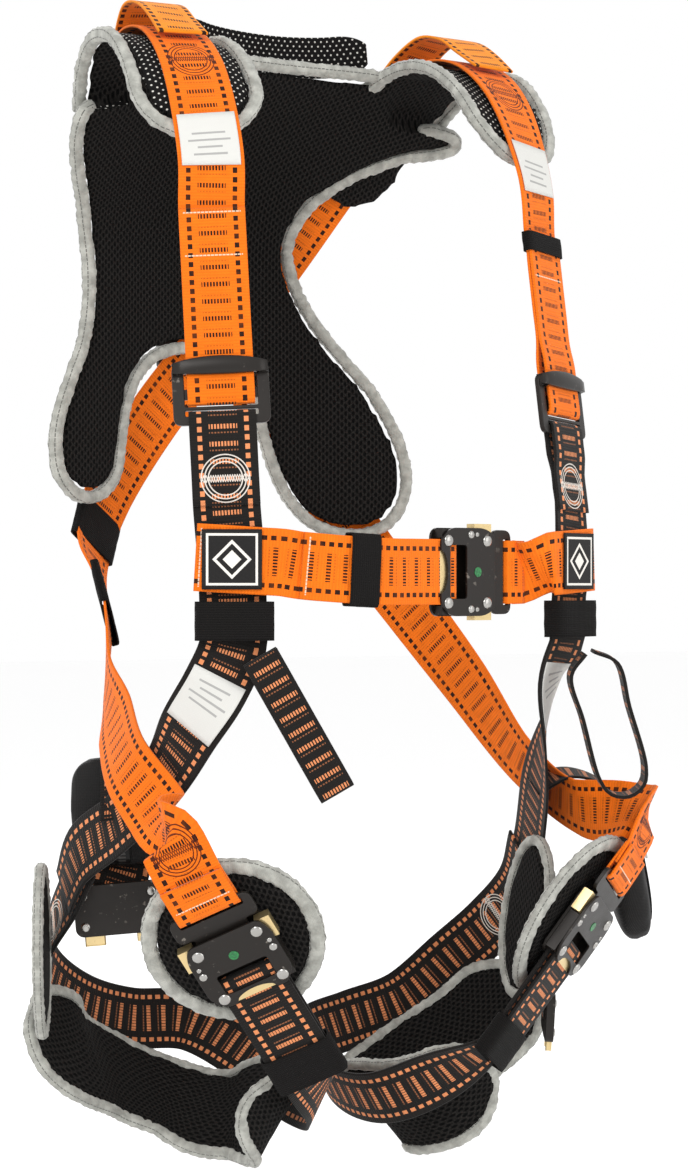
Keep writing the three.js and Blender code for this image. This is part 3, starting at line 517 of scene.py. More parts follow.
def leg_stops(s):
    seam = [lifted(place, -4.8) for place in front_stops(s)[-2:]]
    if s < 0:
        return seam + [
            stop(-188, 44, -630, -0.9, 0.45, 0),
            stop(-170, 80, -664, -0.7, 0.7, 0),
            stop(-134, 98, -690, -0.4, 0.9, -0.1),
            stop(-92, 106, -704, -0.1, 0.98, -0.2),
            stop(-50, 96, -708, 0.3, 0.9, -0.3),
            stop(-22, 54, -728, 0.7, 0.5, -0.5),
            stop(-16, 4, -747, 0.85, 0, -0.52),
            stop(-18, -42, -750, 0.8, -0.4, -0.45),
            stop(-36, -80, -736, 0.6, -0.7, -0.4),
        ]
    return seam + [
        stop(188, 44, -646, 0.85, 0.5, 0),
        stop(171, 70, -673, 0.6, 0.75, -0.1),
        stop(130, 78, -704, 0.3, 0.9, -0.2),
        stop(84, 80, -716, -0.05, 0.95, -0.3),
        stop(43, 66, -723, -0.5, 0.75, -0.4),
        stop(18, 22, -740, -0.8, 0.3, -0.5),
        stop(14, -24, -749, -0.85, -0.1, -0.52),
        stop(22, -64, -748, -0.7, -0.5, -0.5),
        stop(44, -92, -734, -0.45, -0.75, -0.4),
    ]


def buckle_turn(buckle, near):
    stops = [buckle.ply(a, -2.8, -1) for a in near]
    stops += buckle.hairpin(11.4, 2.8, 1)
    return stops + [buckle.ply(a, 2.8, 1) for a in near[::-1]]


def leg_web_stops(s):
    return [flipped(place) for place in leg_stops(s)] + buckle_turn(LEG_BUCKLE[s], (96, 74, 52, 34))


for s in (-1, 1):
    rows = route_rows(front_web_stops(s))
    circles = [(distance_at(rows, 0) + 18) * MM]
    cloth = webbing(f"black_webbing_chest_{SIDE[s]}", BLACK, PEACH, WHITE_THREAD, circles)
    band(f"{SIDE[s]}_chest_strap", rows, [cloth], replaces=f"{SIDE[s]}_front_web")
    rows = route_rows(leg_web_stops(s))
    circles = [distance_at(rows, 1.7) * MM]
    cloth = webbing(f"black_webbing_leg_{SIDE[s]}", BLACK, PEACH, WHITE_THREAD, circles, solid_ladder=True)
    band(f"{SIDE[s]}_leg_strap", rows, [cloth], replaces=f"{SIDE[s]}_leg_web")

# %% [markdown]
# The chest connector is a short orange strap on each side. On the right it turns round the bar of the
# chest buckle and its tail lies on top, held by an elastic keeper; on the left it is sewn to the tongue.

# %% Chest connector
CHEST_LIFT = PLY_PITCH + 1.2


def chest_seat(s):
    place, face = lifted(chest_stop(s), CHEST_LIFT)
    across = Vector((0.92, s * 0.4, s * 0.06))
    return [(place + across * s * d, face) for d in (24, 0, -22, -34)]


BOW = [stop(-97, -156, -367, -0.25, -0.97, 0), stop(-76, -163.5, -369, -0.14, -0.99, 0)]
connector = [flipped(place) for place in chest_seat(-1) + BOW]
connector += buckle_turn(CHEST_BUCKLE, (72, 54, 38)) + [lifted(BOW[1], 3.4), lifted(BOW[0], 2.4)]
rows = route_rows(connector)
hem = [0.003, (rows[-1][3] - 4) * MM]
cloth = webbing("orange_webbing_chest", ORANGE, TRACER, WHITE_THREAD, (), hem)
band("right_chest_connector", rows, [cloth], replaces="right_chest_web")
connector = [CHEST_BUCKLE.ply(a, 0, 1) for a in (-51, -58)] + chest_seat(1)[::-1]
band("left_chest_connector", connector, [cloth], replaces="left_chest_web")

# %% [markdown]
# The padding is spacer mesh outside foam: black, with long holes in staggered rows on the side that
# touches the wearer, and a plain black cloth printed with small pale dots on the outer side. Both are
# patterns in the cloth's own map, so the holes stay the same size all over a curved pad.

# %% Padding cloths
def staggered(u, v, across, along, wide, tall):
    """How far out of its spot a place is, 1 at the spot's edge, on a lattice whose every second
    column is moved half a pitch along."""
    column = (u / across).math("FLOOR")
    shift = (column % 2.0) * 0.5
    x = ((u / across) % 1.0 - 0.5) * (across / wide)
    y = ((v / along + shift) % 1.0 - 0.5) * (along / tall)
    return (x * x + y * y).math("SQRT")


def spacer_mesh():
    finish = Finish("spacer_mesh", Roughness=0.92, Specular_IOR_Level=0.12)
    where, u, v = finish.cloth()
    hole = staggered(u, v, 0.0029, 0.0058, 0.0012, 0.0021).soft(0.55, 1.15)
    fibre = finish.noise(where, 900.0, 2.0)
    yarn = finish.mix(fibre.soft(0.3, 0.8), colour(21, 19, 18), colour(44, 42, 40))
    # The holes are real, but their near-black colour is painted shade down in each hole.
    finish.drive(Base_Color=finish.mix(hole, colour(4, 4, 4), yarn))
    finish.bump(hole * 1.2 + fibre * 0.15, 0.0012, 0.9)
    return finish.material


def dotted_cloth():
    finish = Finish("dotted_cloth", Roughness=0.85, Specular_IOR_Level=0.15)
    u, v = finish.cloth()[1:]
    dot = 1.0 - staggered(u, v, 0.0034, 0.0052, 0.00078, 0.00078).soft(0.75, 1.1)
    weave = u.wave(0.0009) * v.wave(0.0009)
    ground = finish.mix(weave, colour(12, 11, 11), colour(28, 26, 26))
    finish.drive(Base_Color=finish.mix(dot, ground, colour(205, 203, 196)))
    finish.bump(weave * 0.4 + dot, 0.0005, 0.6)
    return finish.material


def binding_tape():
    finish = Finish("binding_tape", Roughness=0.7, Sheen_Weight=0.2, Specular_IOR_Level=0.25)
    where, u, v = finish.cloth()
    weave = u.wave(0.0009) * 0.5 + v.wave(0.0011) * 0.5
    cloud = finish.noise(where, 120.0, 3.0)
    crease = finish.noise(where, 420.0, 1.0)
    tone = finish.mix(cloud.soft(0.3, 0.75), colour(150, 150, 143), colour(192, 192, 184))
    seam = (abs(abs(u) - 0.0052) < 0.0004) * ((v % 0.0034) < 0.0025)
    woven = finish.mix(weave * 0.25, tone, colour(120, 120, 114))
    finish.drive(Base_Color=finish.mix(seam, woven, colour(104, 104, 99)))
    finish.bump(weave * 0.3 + crease * 1.2 - seam * 1.5, 0.0008, 0.8)
    return finish.material


SPACER, DOTTED, TAPE = spacer_mesh(), dotted_cloth(), binding_tape()
print("spacer mesh holes 2.9 x 5.8 mm apart, dots 3.4 x 5.2 mm apart")

# %% [markdown]
# A pad is soft, so its shape comes from a short cloth simulation: a copy of the plain CAD pad is
# remeshed into even squares, drawn in a little, and blown up from inside for twenty frames with no
# gravity. A cap on how far a point may move keeps the pad inside the room it has on the harness.

# %% Blown-up pads
def evaluated_mesh(made):
    """Puts the modifiers' result into the mesh and takes the modifiers off."""
    graph = bpy.context.evaluated_depsgraph_get()
    graph.update()
    mesh = bpy.data.meshes.new_from_object(made.evaluated_get(graph))
    old = made.data
    made.modifiers.clear()
    made.data = mesh
    bpy.data.meshes.remove(old)


def per_point(mesh, what="co"):
    flat = np.zeros(len(mesh.vertices) * 3)
    mesh.vertices.foreach_get(what, flat)
    return flat.reshape(-1, 3)


def move_points(mesh, places):
    mesh.vertices.foreach_set("co", places.ravel())
    mesh.update()


SWELL, FRAMES = 1.2, 20


def stuffed(name, node, voxel=5.0, draw_in=1.2, cap=2.4):
    """The CAD solid is made a little fatter first, so that no hole opens where it is thin, and is
    drawn in again once its faces are even."""
    bm = bmesh.new()
    bm.from_mesh(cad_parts[node].data)
    bmesh.ops.remove_doubles(bm, verts=bm.verts, dist=1e-5)
    bmesh.ops.recalc_face_normals(bm, faces=bm.faces)
    bm.normal_update()
    for vert in bm.verts:
        vert.co += vert.normal * SWELL * MM
    mesh = bpy.data.meshes.new(name)
    bm.to_mesh(mesh)
    bm.free()
    made = bpy.data.objects.new(name, mesh)
    COLLECTION.objects.link(made)
    remesh = made.modifiers.new("even", "REMESH")
    remesh.mode = "VOXEL"
    remesh.voxel_size = voxel * MM
    smooth = made.modifiers.new("ease", "SMOOTH")
    smooth.factor, smooth.iterations = 0.5, 3
    evaluated_mesh(made)
    start = per_point(made.data) - per_point(made.data, "normal") * (draw_in + SWELL) * MM
    move_points(made.data, start)
    cloth = made.modifiers.new("blown up", "CLOTH")
    cloth.settings.quality = 4
    cloth.settings.use_pressure = True
    cloth.settings.uniform_pressure_force = 4.0
    cloth.settings.effector_weights.gravity = 0
    cloth.point_cache.frame_start, cloth.point_cache.frame_end = 1, FRAMES
    for step in range(1, FRAMES + 1):
        bpy.context.scene.frame_set(step)
    evaluated_mesh(made)
    bpy.context.scene.frame_set(1)
    moved = per_point(made.data) - start
    far = np.linalg.norm(moved, axis=1, keepdims=True)
    moved *= np.minimum(1, cap * MM / np.maximum(far, 1e-9))
    move_points(made.data, start + moved)
    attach(made, "root")
    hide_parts(node)
    print(f"{name}: {len(made.data.vertices)} points, moved {np.mean(far) * 1000:.1f} mm on average")
    return made


def rounded(made, levels=1):
    rounder = made.modifiers.new("rounder", "SUBSURF")
    rounder.levels = rounder.render_levels = levels


def clothed(made, u, v, inner, outer=None, facing=None):
    """Gives a pad its map in metres and its cloth. Faces that look along facing, one direction for
    each point, get the outer cloth."""
    mesh = made.data
    layer = mesh.uv_layers.new(name="cloth")
    loops = np.zeros(len(mesh.loops), int)
    mesh.loops.foreach_get("vertex_index", loops)
    layer.data.foreach_set("uv", np.stack([u[loops], v[loops]], 1).ravel())
    mesh.materials.clear()
    for material in (inner, outer) if outer else (inner,):
        mesh.materials.append(material)
    for face in mesh.polygons:
        face.use_smooth = True
        if outer:
            face.material_index = int(np.dot(face.normal, facing[face.vertices[0]]) > 0.35)
    rounded(made)


def wrapped(made, rows, material):
    """Maps a pad along rows: across and along its nearest row."""
    centres, sides, outs = (np.array([row[k] for row in rows]) for k in range(3))
    centres = centres * MM
    distances = np.array([row[3] for row in rows]) * MM
    points = per_point(made.data)
    nearest = np.array([np.argmin(((centres - p) ** 2).sum(1)) for p in points])
    rest = points - centres[nearest]
    u = (rest * sides[nearest]).sum(1)
    v = distances[nearest] + (rest * np.cross(outs[nearest], sides[nearest])).sum(1)
    clothed(made, u, v, material)


print(f"pads are blown up for {FRAMES} frames", "in full")

# %% [markdown]
# The pads' cut edges are bound with a grey tape folded over them. The tape is longer than the curve it
# follows, so it puckers. It is a soft oval tube round the edge whose surface is pushed in and out by
# slanting noise, and it closes on itself.

# %% Bound edges
TAPE_STEP, TAPE_SIDES = 2.2, 12


def bound_edge(name, loop, set_in=2.6, reach=4.6, depth=5.0):
    """Tape round a closed loop of (place, face): set_in is how far its middle lies inside the loop,
    reach and depth are half its width across the edge and half its thickness."""
    points = np.array([place for place, face in loop], float)
    faces = np.array([face for place, face in loop], float)
    ring = np.vstack([points, points[:1]])
    lengths = np.concatenate([[0], np.cumsum(np.linalg.norm(np.diff(ring, axis=0), axis=1))])
    count = int(lengths[-1] / TAPE_STEP)
    where = np.linspace(0, lengths[-1], count, endpoint=False)
    closed = np.vstack([faces, faces[:1]])
    place = np.stack([np.interp(where, lengths, ring[:, k]) for k in range(3)], 1)
    face = np.stack([np.interp(where, lengths, closed[:, k]) for k in range(3)], 1)
    for _ in range(4):
        place = (np.roll(place, 1, 0) + place * 2 + np.roll(place, -1, 0)) / 4
        face = (np.roll(face, 1, 0) + face * 2 + np.roll(face, -1, 0)) / 4
    along = np.roll(place, -1, 0) - np.roll(place, 1, 0)
    along /= np.linalg.norm(along, axis=1, keepdims=True)
    face -= along * (face * along).sum(1, keepdims=True)
    face /= np.linalg.norm(face, axis=1, keepdims=True)
    inward = np.cross(face, along)
    bm = bmesh.new()
    bmesh.ops.create_grid(bm, x_segments=TAPE_SIDES, y_segments=count, size=1)
    layer = bm.loops.layers.uv.new("cloth")
    for vert in bm.verts:
        i = round((vert.co.x + 1) / 2 * TAPE_SIDES)
        j = round((vert.co.y + 1) / 2 * count)
        angle = 2 * math.pi * (i % TAPE_SIDES) / TAPE_SIDES
        k, far = j % count, where[j % count]
        turn = math.cos(angle), math.sin(angle)
        pucker = noise.noise(Vector((far * 0.22 + turn[1] * 1.1, turn[0] * 0.9, far * 0.05)))
        pucker = 1 + 0.2 * pucker + 0.06 * math.sin(far * 0.9 + 2.2 * turn[0])
        centre = Vector(place[k] + inward[k] * set_in)
        square = 1 / (abs(turn[0]) ** 3 + abs(turn[1]) ** 3) ** (1 / 3)
        offset = Vector(inward[k]) * (turn[0] * reach) + Vector(face[k]) * (turn[1] * depth)
        vert.co = (centre + offset * (square * pucker)) * MM
        distance = far if j < count else lengths[-1]
        for link in vert.link_loops:
            link[layer].uv = (math.asin(max(-1, min(1, turn[0]))) * 0.005, distance * MM)
    bmesh.ops.remove_doubles(bm, verts=bm.verts, dist=1e-5)
    bmesh.ops.recalc_face_normals(bm, faces=bm.faces)
    finished(name, bm, [TAPE])
    print(f"{name}: {lengths[-1]:.0f} mm of tape")


def rounded_scale(rows, rounding):
    """The share of the full width at each row of a piece with round ends."""
    total = rows[-1][3]
    inset = [min(1, (min(row[3], total - row[3]) + 3) / rounding) for row in rows]
    return [math.sqrt(1 - (1 - share) ** 2) for share in inset]


def pad_edge(rows, width, rounding):
    scale = rounded_scale(rows, rounding)
    edges = []
    for sign in (1, -1):
        edge = [(row[0] + row[1] * sign * width / 2 * share, row[2]) for row, share in zip(rows, scale)]
        edges += edge if sign > 0 else edge[::-1]
    return edges


print(f"binding tape turns in {TAPE_SIDES} sides, with a ring every {TAPE_STEP} mm")

# %% [markdown]
# The yoke pad lies over both shoulders and down the back in two lobes. Its cut outline is drawn flat
# with Bezier curves and then laid on the curve of the back, where the CAD's pad lies.

# %% Yoke pad
def back_depth(x, z):
    rib, top = min(abs(x), 150), max(0, z + 130)
    return 130 - 0.0017 * rib * rib - 0.0052 * top * top


def on_back(x, z):
    out = Vector((0.0034 * x, 1, 0.0104 * max(0, z + 130)))
    return Vector((x, back_depth(x, z), z)), out.normalized()


def bezier(start, first, second, end, count=10):
    points = []
    for k in range(1, count + 1):
        t = k / count
        a, b, c, d = (1 - t) ** 3, 3 * t * (1 - t) ** 2, 3 * t * t * (1 - t), t**3
        points.append(tuple(a * p + b * q + c * r + d * e for p, q, r, e in zip(start, first, second, end)))
    return points


def outline(start, *pieces):
    points = [start]
    for piece in pieces:
        points += bezier(points[-1], *piece)
    return [on_back(x, z) for x, z in points]


neck = outline((78, 2), ((60, 4), (20, 4), (-20, 4)), ((-50, 4), (-66, 4), (-78, 2)))
lobes = outline(
    (-156, -38),
    ((-160, -50), (-152, -70), (-140, -90)),
    ((-124, -130), (-122, -170), (-134, -206)),
    ((-150, -236), (-164, -262), (-158, -292)),
    ((-150, -322), (-108, -318), (-102, -288)),
    ((-98, -248), (-92, -220), (-66, -204)),
    ((-30, -186), (10, -196), (26, -232)),
    ((38, -262), (42, -296), (62, -318)),
    ((82, -342), (122, -346), (136, -322)),
    ((152, -292), (134, -258), (116, -228)),
    ((84, -190), (52, -160), (50, -118)),
    ((54, -76), (92, -56), (126, -45)),
    ((137, -44), (146, -43), (153, -41)),
    ((158, -40), (160, -37), (155, -35)),
    ((148, -33), (140, -31), (132, -30)),
)


def arm_edges(s):
    """The edge of the shoulder arm from the neck, round its front end, to the outer back."""
    rows = route_rows(cross_web_stops(s), step=6, start=17.35, end=22.2, lift=6.9)
    rows = [row for row in rows if row[4] < 21.3]
    scale = [math.sqrt(1 - (1 - min(1, (row[3] + 3) / 36)) ** 2) for row in rows]
    inner = 1 if rows[-1][1].x * s < 0 else -1
    pairs = list(zip(rows, scale))
    toward = [(row[0] + row[1] * inner * 40 * share, -row[2]) for row, share in pairs[::-1]]
    away = [(row[0] - row[1] * inner * 40 * share, -row[2]) for row, share in pairs]
    return toward + away


yoke_loop = neck + arm_edges(-1) + lobes + arm_edges(1)[::-1]
yoke = stuffed("yoke_padding", "yoke_pad", cap=2.2)
side_view = [
    stop(0, 126, -350, 0, 1, 0),
    stop(0, 126, -130, 0, 1, 0),
    stop(0, 117, -80, 0, 0.95, 0.3),
    stop(0, 88, -40, 0, 0.75, 0.65),
    stop(0, 57, -15, 0, 0.5, 0.85),
    stop(0, 14, 6, 0, 0, 1),
    stop(0, -26, 2, 0, -0.3, 0.95),
    stop(0, -61, -26, 0, -0.8, 0.6),
    stop(0, -92, -90, 0, -0.95, 0.2),
    stop(0, -104, -132, 0, -0.95, 0.2),
]


def wrapped_over(made, rows):
    """As wrapped, but the nearest row is found in the side view only, as the rows run across x."""
    centres = np.array([(row[0].y, row[0].z) for row in rows]) * MM
    outs = np.array([row[2] for row in rows])
    distances = np.array([row[3] for row in rows]) * MM
    points = per_point(made.data)
    nearest = np.array([np.argmin(((centres - p[1:]) ** 2).sum(1)) for p in points])
    rest = points[:, 1:] - centres[nearest]
    ahead = np.stack([-outs[nearest][:, 2], outs[nearest][:, 1]], 1)
    v = distances[nearest] + (rest * ahead).sum(1)
    clothed(made, points[:, 0], v, SPACER, DOTTED, outs[nearest])


wrapped_over(yoke, route_rows(side_view, step=4))
bound_edge("yoke_binding", yoke_loop)

# %% [markdown]
# The leg pads are straight cushions bent under the thighs, bound in the same tape all round. Behind
# each leg buckle lies an oval backing pad, and a smaller one hangs at each hip.

# %% Leg, backing and hip pads
def leg_pad_stops(s):
    if s < 0:
        return [
            stop(-207, 32, -678, -0.6, 0.75, -0.2),
            stop(-172, 36, -709, -0.35, 0.8, -0.45),
            stop(-128, 62, -736, -0.2, 0.7, -0.65),
            stop(-84, 58, -757, 0, 0.6, -0.8),
            stop(-61, 26, -764, 0.5, 0.4, -0.75),
            stop(-51, 2, -758, 0.85, 0, -0.52),
            stop(-52, -36, -756, 0.8, -0.4, -0.45),
            stop(-62, -68, -748, 0.55, -0.75, -0.4),
            stop(-86, -90, -722, 0.1, -0.85, -0.5),
        ]
    return [
        stop(209, 24, -686, 0.6, 0.75, -0.2),
        stop(166, 30, -723, 0.35, 0.8, -0.45),
        stop(124, 38, -746, 0.2, 0.7, -0.65),
        stop(86, 32, -762, 0, 0.6, -0.8),
        stop(61, 8, -767, -0.5, 0.4, -0.75),
        stop(51, -18, -763, -0.85, 0, -0.52),
        stop(54, -48, -760, -0.8, -0.4, -0.45),
        stop(68, -74, -750, -0.55, -0.75, -0.4),
        stop(94, -90, -722, -0.1, -0.85, -0.5),
    ]


def oval_rows(fitting, length):
    steps = 24
    rows = []
    for k in range(steps + 1):
        along = (k / steps - 0.5) * length
        rows.append((fitting.point(along), fitting.v, fitting.n, along + length / 2, k))
    return rows


def oval_edge(fitting, width, length, count=72):
    turns = [2 * math.pi * k / count for k in range(count)]
    return [(fitting.point(math.cos(t) * length / 2, math.sin(t) * width / 2), fitting.n) for t in turns]


HIP = {
    -1: Fitting((-214, 0, -634), (0.06, 0.1, -1), (-0.86, 0.5, 0)),
    1: Fitting((158, -52, -628), (-0.1, 0.1, -1), (1, -0.1, 0)),
}
for s in (-1, 1):
    rows = route_rows(leg_pad_stops(s), step=4)
    pad = stuffed(f"{SIDE[s]}_leg_cushion", f"{SIDE[s]}_leg_pad", voxel=3.0, draw_in=0.4, cap=1.4)
    wrapped(pad, rows, SPACER)
    bound_edge(f"{SIDE[s]}_leg_binding", pad_edge(rows, 78, 40), depth=4.0, reach=4.2, set_in=2.2)
    buckle = LEG_BUCKLE[s]
    backing = Fitting(buckle.point(-8, 0, -13), buckle.u, buckle.n)
    pad = stuffed(f"{SIDE[s]}_buckle_cushion", f"{SIDE[s]}_buckle_pad", voxel=3.0,
                  draw_in=0.0, cap=1.2)
    wrapped(pad, oval_rows(backing, 112), SPACER)
    bound_edge(f"{SIDE[s]}_buckle_binding", oval_edge(backing, 104, 112), depth=4.0, reach=5.4, set_in=3.4)
    pad = stuffed(f"{SIDE[s]}_hip_cushion", f"{SIDE[s]}_hip_pad", voxel=3.0, draw_in=0.4, cap=1.2)
    wrapped(pad, oval_rows(HIP[s], 112), SPACER)
    bound_edge(f"{SIDE[s]}_hip_binding", oval_edge(HIP[s], 58, 112), depth=3.8, reach=4.0, set_in=2.2)

# %% [markdown]
# The fittings are stamped and cast metal. Three finishes cover them: a satin black coat that has worn
# to bright metal in fine scratches, warm brass on the release tabs, and bright steel on rivet heads.

# %% Metals and plastics
def coated_metal(name, ground, roughness, metallic, wear):
    finish = Finish(name, Roughness=roughness, Metallic=metallic, Specular_IOR_Level=0.4)
    where = finish.place()[0]
    grain = finish.noise(where, 1400.0, 3.0)
    cloud = finish.noise(where, 60.0, 3.0)
    scratch = finish.noise(where, 260.0, 4.0).soft(0.63, 0.72)
    worn = finish.mix(scratch * cloud.soft(0.45, 0.7), ground, wear)
    finish.drive(Base_Color=worn, Roughness=(cloud * 0.2 + (roughness - 0.1)))
    finish.bump(grain, 0.0002, 0.25)
    return finish.material


SATIN = coated_metal("satin_black_coat", colour(34, 30, 27), 0.38, 0.35, colour(120, 114, 106))
BRASS = coated_metal("brass", colour(222, 198, 146), 0.3, 0.9, colour(160, 134, 88))
STEEL = coated_metal("bright_steel", colour(172, 170, 166), 0.24, 1.0, colour(120, 118, 116))
RING_STEEL = coated_metal("forged_steel", colour(176, 176, 172), 0.34, 0.95, colour(120, 118, 114))
PLASTIC = coated_metal("moulded_plastic", colour(30, 29, 28), 0.55, 0.0, colour(44, 43, 42))


def repaint(material, *names):
    for name in names:
        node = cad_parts[name]
        node.data.materials.clear()
        node.data.materials.append(material)


BUCKLES = {"chest": CHEST_BUCKLE, "right_leg": LEG_BUCKLE[-1], "left_leg": LEG_BUCKLE[1]}
for prefix in BUCKLES:
    repaint(SATIN, f"{prefix}_buckle_body", f"{prefix}_buckle_tongue")
    repaint(BRASS, f"{prefix}_release_tab_a", f"{prefix}_release_tab_b")
repaint(SATIN, "right_adjuster_bar", "left_adjuster_bar", "right_relief_buckle", "left_relief_buckle")
repaint(PLASTIC, "dorsal_plate")
repaint(RING_STEEL, "dorsal_ring")
repaint(STEEL, "right_zipper_slider", "left_zipper_slider")
print("five metal and plastic finishes")

# %% [markdown]
# A stamped plate is easiest as a flat curve: closed outlines, the first the rim and the others its
# windows, given a thickness and a small round on every edge, and then turned into a mesh.

# %% Stamped plates and rivets
def rounded_outline(corners, radius=3.0, steps=5):
    """A closed outline with rounded corners, each given as (x, y) or as (x, y, its own radius)."""
    points = []
    count = len(corners)
    for k, corner in enumerate(corners):
        here = Vector(corner[:2])
        own = corner[2] if len(corner) > 2 else radius
        before = Vector(corners[k - 1][:2]) - here
        after = Vector(corners[(k + 1) % count][:2]) - here
        reach = min(own, before.length * 0.49, after.length * 0.49)
        start, end = here + before.normalized() * reach, here + after.normalized() * reach
        for j in range(steps + 1):
            t = j / steps
            points.append(start * (1 - t) ** 2 + here * 2 * t * (1 - t) + end * t * t)
    return points


def plate(name, fitting, outlines, low, high, material, body, replaces=None, edge=0.4):
    """A plate between two heights over a fitting; the first outline is its rim, the rest windows."""
    flat = bpy.data.curves.new(name, "CURVE")
    flat.dimensions = "2D"
    flat.fill_mode = "BOTH"
    flat.extrude = (high - low) / 2 - edge
    flat.bevel_depth = edge
    flat.bevel_resolution = 2
    for points in outlines:
        spline = flat.splines.new("POLY")
        spline.points.add(len(points) - 1)
        for target, point in zip(spline.points, points):
            target.co = (point[0], point[1], 0, 1)
        spline.use_cyclic_u = True
    flat.offset = -edge
    shape = bpy.data.objects.new(name + "_outline", flat)
    COLLECTION.objects.link(shape)
    graph = bpy.context.evaluated_depsgraph_get()
    mesh = bpy.data.meshes.new_from_object(shape.evaluated_get(graph))
    bpy.data.objects.remove(shape)
    bm = bmesh.new()
    bm.from_mesh(mesh)
    bmesh.ops.remove_doubles(bm, verts=bm.verts, dist=1e-4)
    lift = (low + high) / 2
    for vert in bm.verts:
        vert.co = fitting.point(vert.co.y, vert.co.x, vert.co.z + lift) * MM
    bmesh.ops.recalc_face_normals(bm, faces=bm.faces)
    made = finished(name, bm, [material], body, smooth=False)
    if replaces:
        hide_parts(replaces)
    return made


def domes(name, fitting, spots, material, body):
    """Rivet heads, each slightly dished; spots are (across, along, height of the face, radius)."""
    bm = bmesh.new()
    for across, along, face, radius in spots:
        made = bmesh.ops.create_uvsphere(bm, u_segments=20, v_segments=10, radius=radius)
        for vert in made["verts"]:
            x, y, z = vert.co
            ring = math.hypot(x, y) / radius
            height = z * 0.42 if z > 0 else z * 0.12
            height += 0.25 * math.cos(ring * 9) * (z > 0)
            vert.co = fitting.point(along + y, across + x, face + height) * MM
    bmesh.ops.recalc_face_normals(bm, faces=bm.faces)
    return finished(name, bm, [material], body)


print("plates, windows and rivet heads are ready to be placed")

# %% [markdown]
# The front plate of a release buckle carries the look: ears for the rivets, a window where the web
# turns round its bar, and a shallow arch at the bottom that lets a pale lower plate show.

# %% Release buckle plates
FACE, PLATE = 4.1, 2.0
FOLD_CLOTH = webbing("orange_webbing_fold", ORANGE, TRACER, WHITE_THREAD, (), [0.043])


def arch(width, depth, y, steps=12):
    """Points of a shallow arch cut into the bottom edge, from +width to -width."""
    points = []
    for k in range(steps + 1):
        x = width * (1 - 2 * k / steps)
        points.append((x, y - depth * math.sqrt(max(0, 1 - (x / width) ** 2)), 0.3))
    return points


for prefix, fitting in BUCKLES.items():
    body = f"{prefix}_buckle"
    rim = [(-26, -26.5, 5), (26, -26.5, 5), (30.5, -16, 5), (30.5, 18, 9), (22, 27, 7)]
    rim += arch(15, 6.5, 27) + [(-22, 27, 7), (-30.5, 18, 9), (-30.5, -16, 5)]
    window = [(-18.5, 1.5), (18.5, 1.5), (18.5, 18), (-18.5, 18)]
    outlines = [rounded_outline(rim), rounded_outline(window, 2.5)]
    plate(f"{prefix}_buckle_plate", fitting, outlines, FACE, FACE + PLATE, SATIN, body,
          f"{prefix}_buckle_front_plate")
    lower = [(-24, 20, 5), (24, 20, 5), (21, 26.6, 4), (-21, 26.6, 4)]
    plate(f"{prefix}_pale_plate", fitting, [rounded_outline(lower)], FACE - 0.4, FACE - 0.04, BRASS, body,
          edge=0.1)
    top = FACE + PLATE
    end = -60 if prefix == "chest" else -71
    web = [fitting.ply(end, -2.0, -1), fitting.ply(-54, -2.6, -1)] + fitting.hairpin(-44.6, 2.6, -1)
    web += [fitting.ply(-54, 2.6, 1), fitting.ply(end, 2.0, 1)]
    band(f"{prefix}_tongue_fold", web, [FOLD_CLOTH], width=44.4, thickness=1.7,
         ripple=0.05, step=4)
    spots = [(x, y, top, 4.3) for x in (-21.5, 21.5) for y in (-18.5, 20)]
    spots += [(x, -8.5, top, 1.7) for x in (-26, 26)] + [(x, -2.5, top, 2.9) for x in (-25.8, 25.8)]
    domes(f"{prefix}_rivets", fitting, spots, STEEL, body)
    ring = [[(math.cos(t * 0.2618) * 3.4, math.sin(t * 0.2618) * 3.4 - 9) for t in range(24)]]
    green = Finish(f"{prefix}_green_dot", Roughness=0.35)
    speckle = green.noise(green.place()[0], 700.0, 2.0)
    green.drive(Base_Color=green.mix(speckle.soft(0.4, 0.6), colour(22, 96, 52), colour(36, 128, 66)))
    plate(f"{prefix}_check_dot", fitting, ring, top, top + 0.35, green.material, body, edge=0.1)
    tongue = [(-29.5, -47.5, 7), (29.5, -47.5, 7), (29.5, -29, 7), (19, -28.5, 2), (18.5, -6.5, 4),
              (-18.5, -6.5, 4), (-19, -28.5, 2), (-29.5, -29, 7)]
    slot_hole = [(-23, -44.5), (23, -44.5), (23, -39.6), (-23, -39.6)]
    outlines = [rounded_outline(tongue), rounded_outline(slot_hole, 1.4)]
    plate(f"{prefix}_tongue_plate", fitting, outlines, -1.5, 1.5, SATIN, "root",
          f"{prefix}_buckle_tongue", edge=0.5)
    print(f"{prefix} buckle: plate, tongue and {len(spots)} rivets")

# %% [markdown]
# The torso adjuster is one flat frame with a window for both straps. Its top bar bulges forward over
# the folded strap, and catches a long soft highlight.

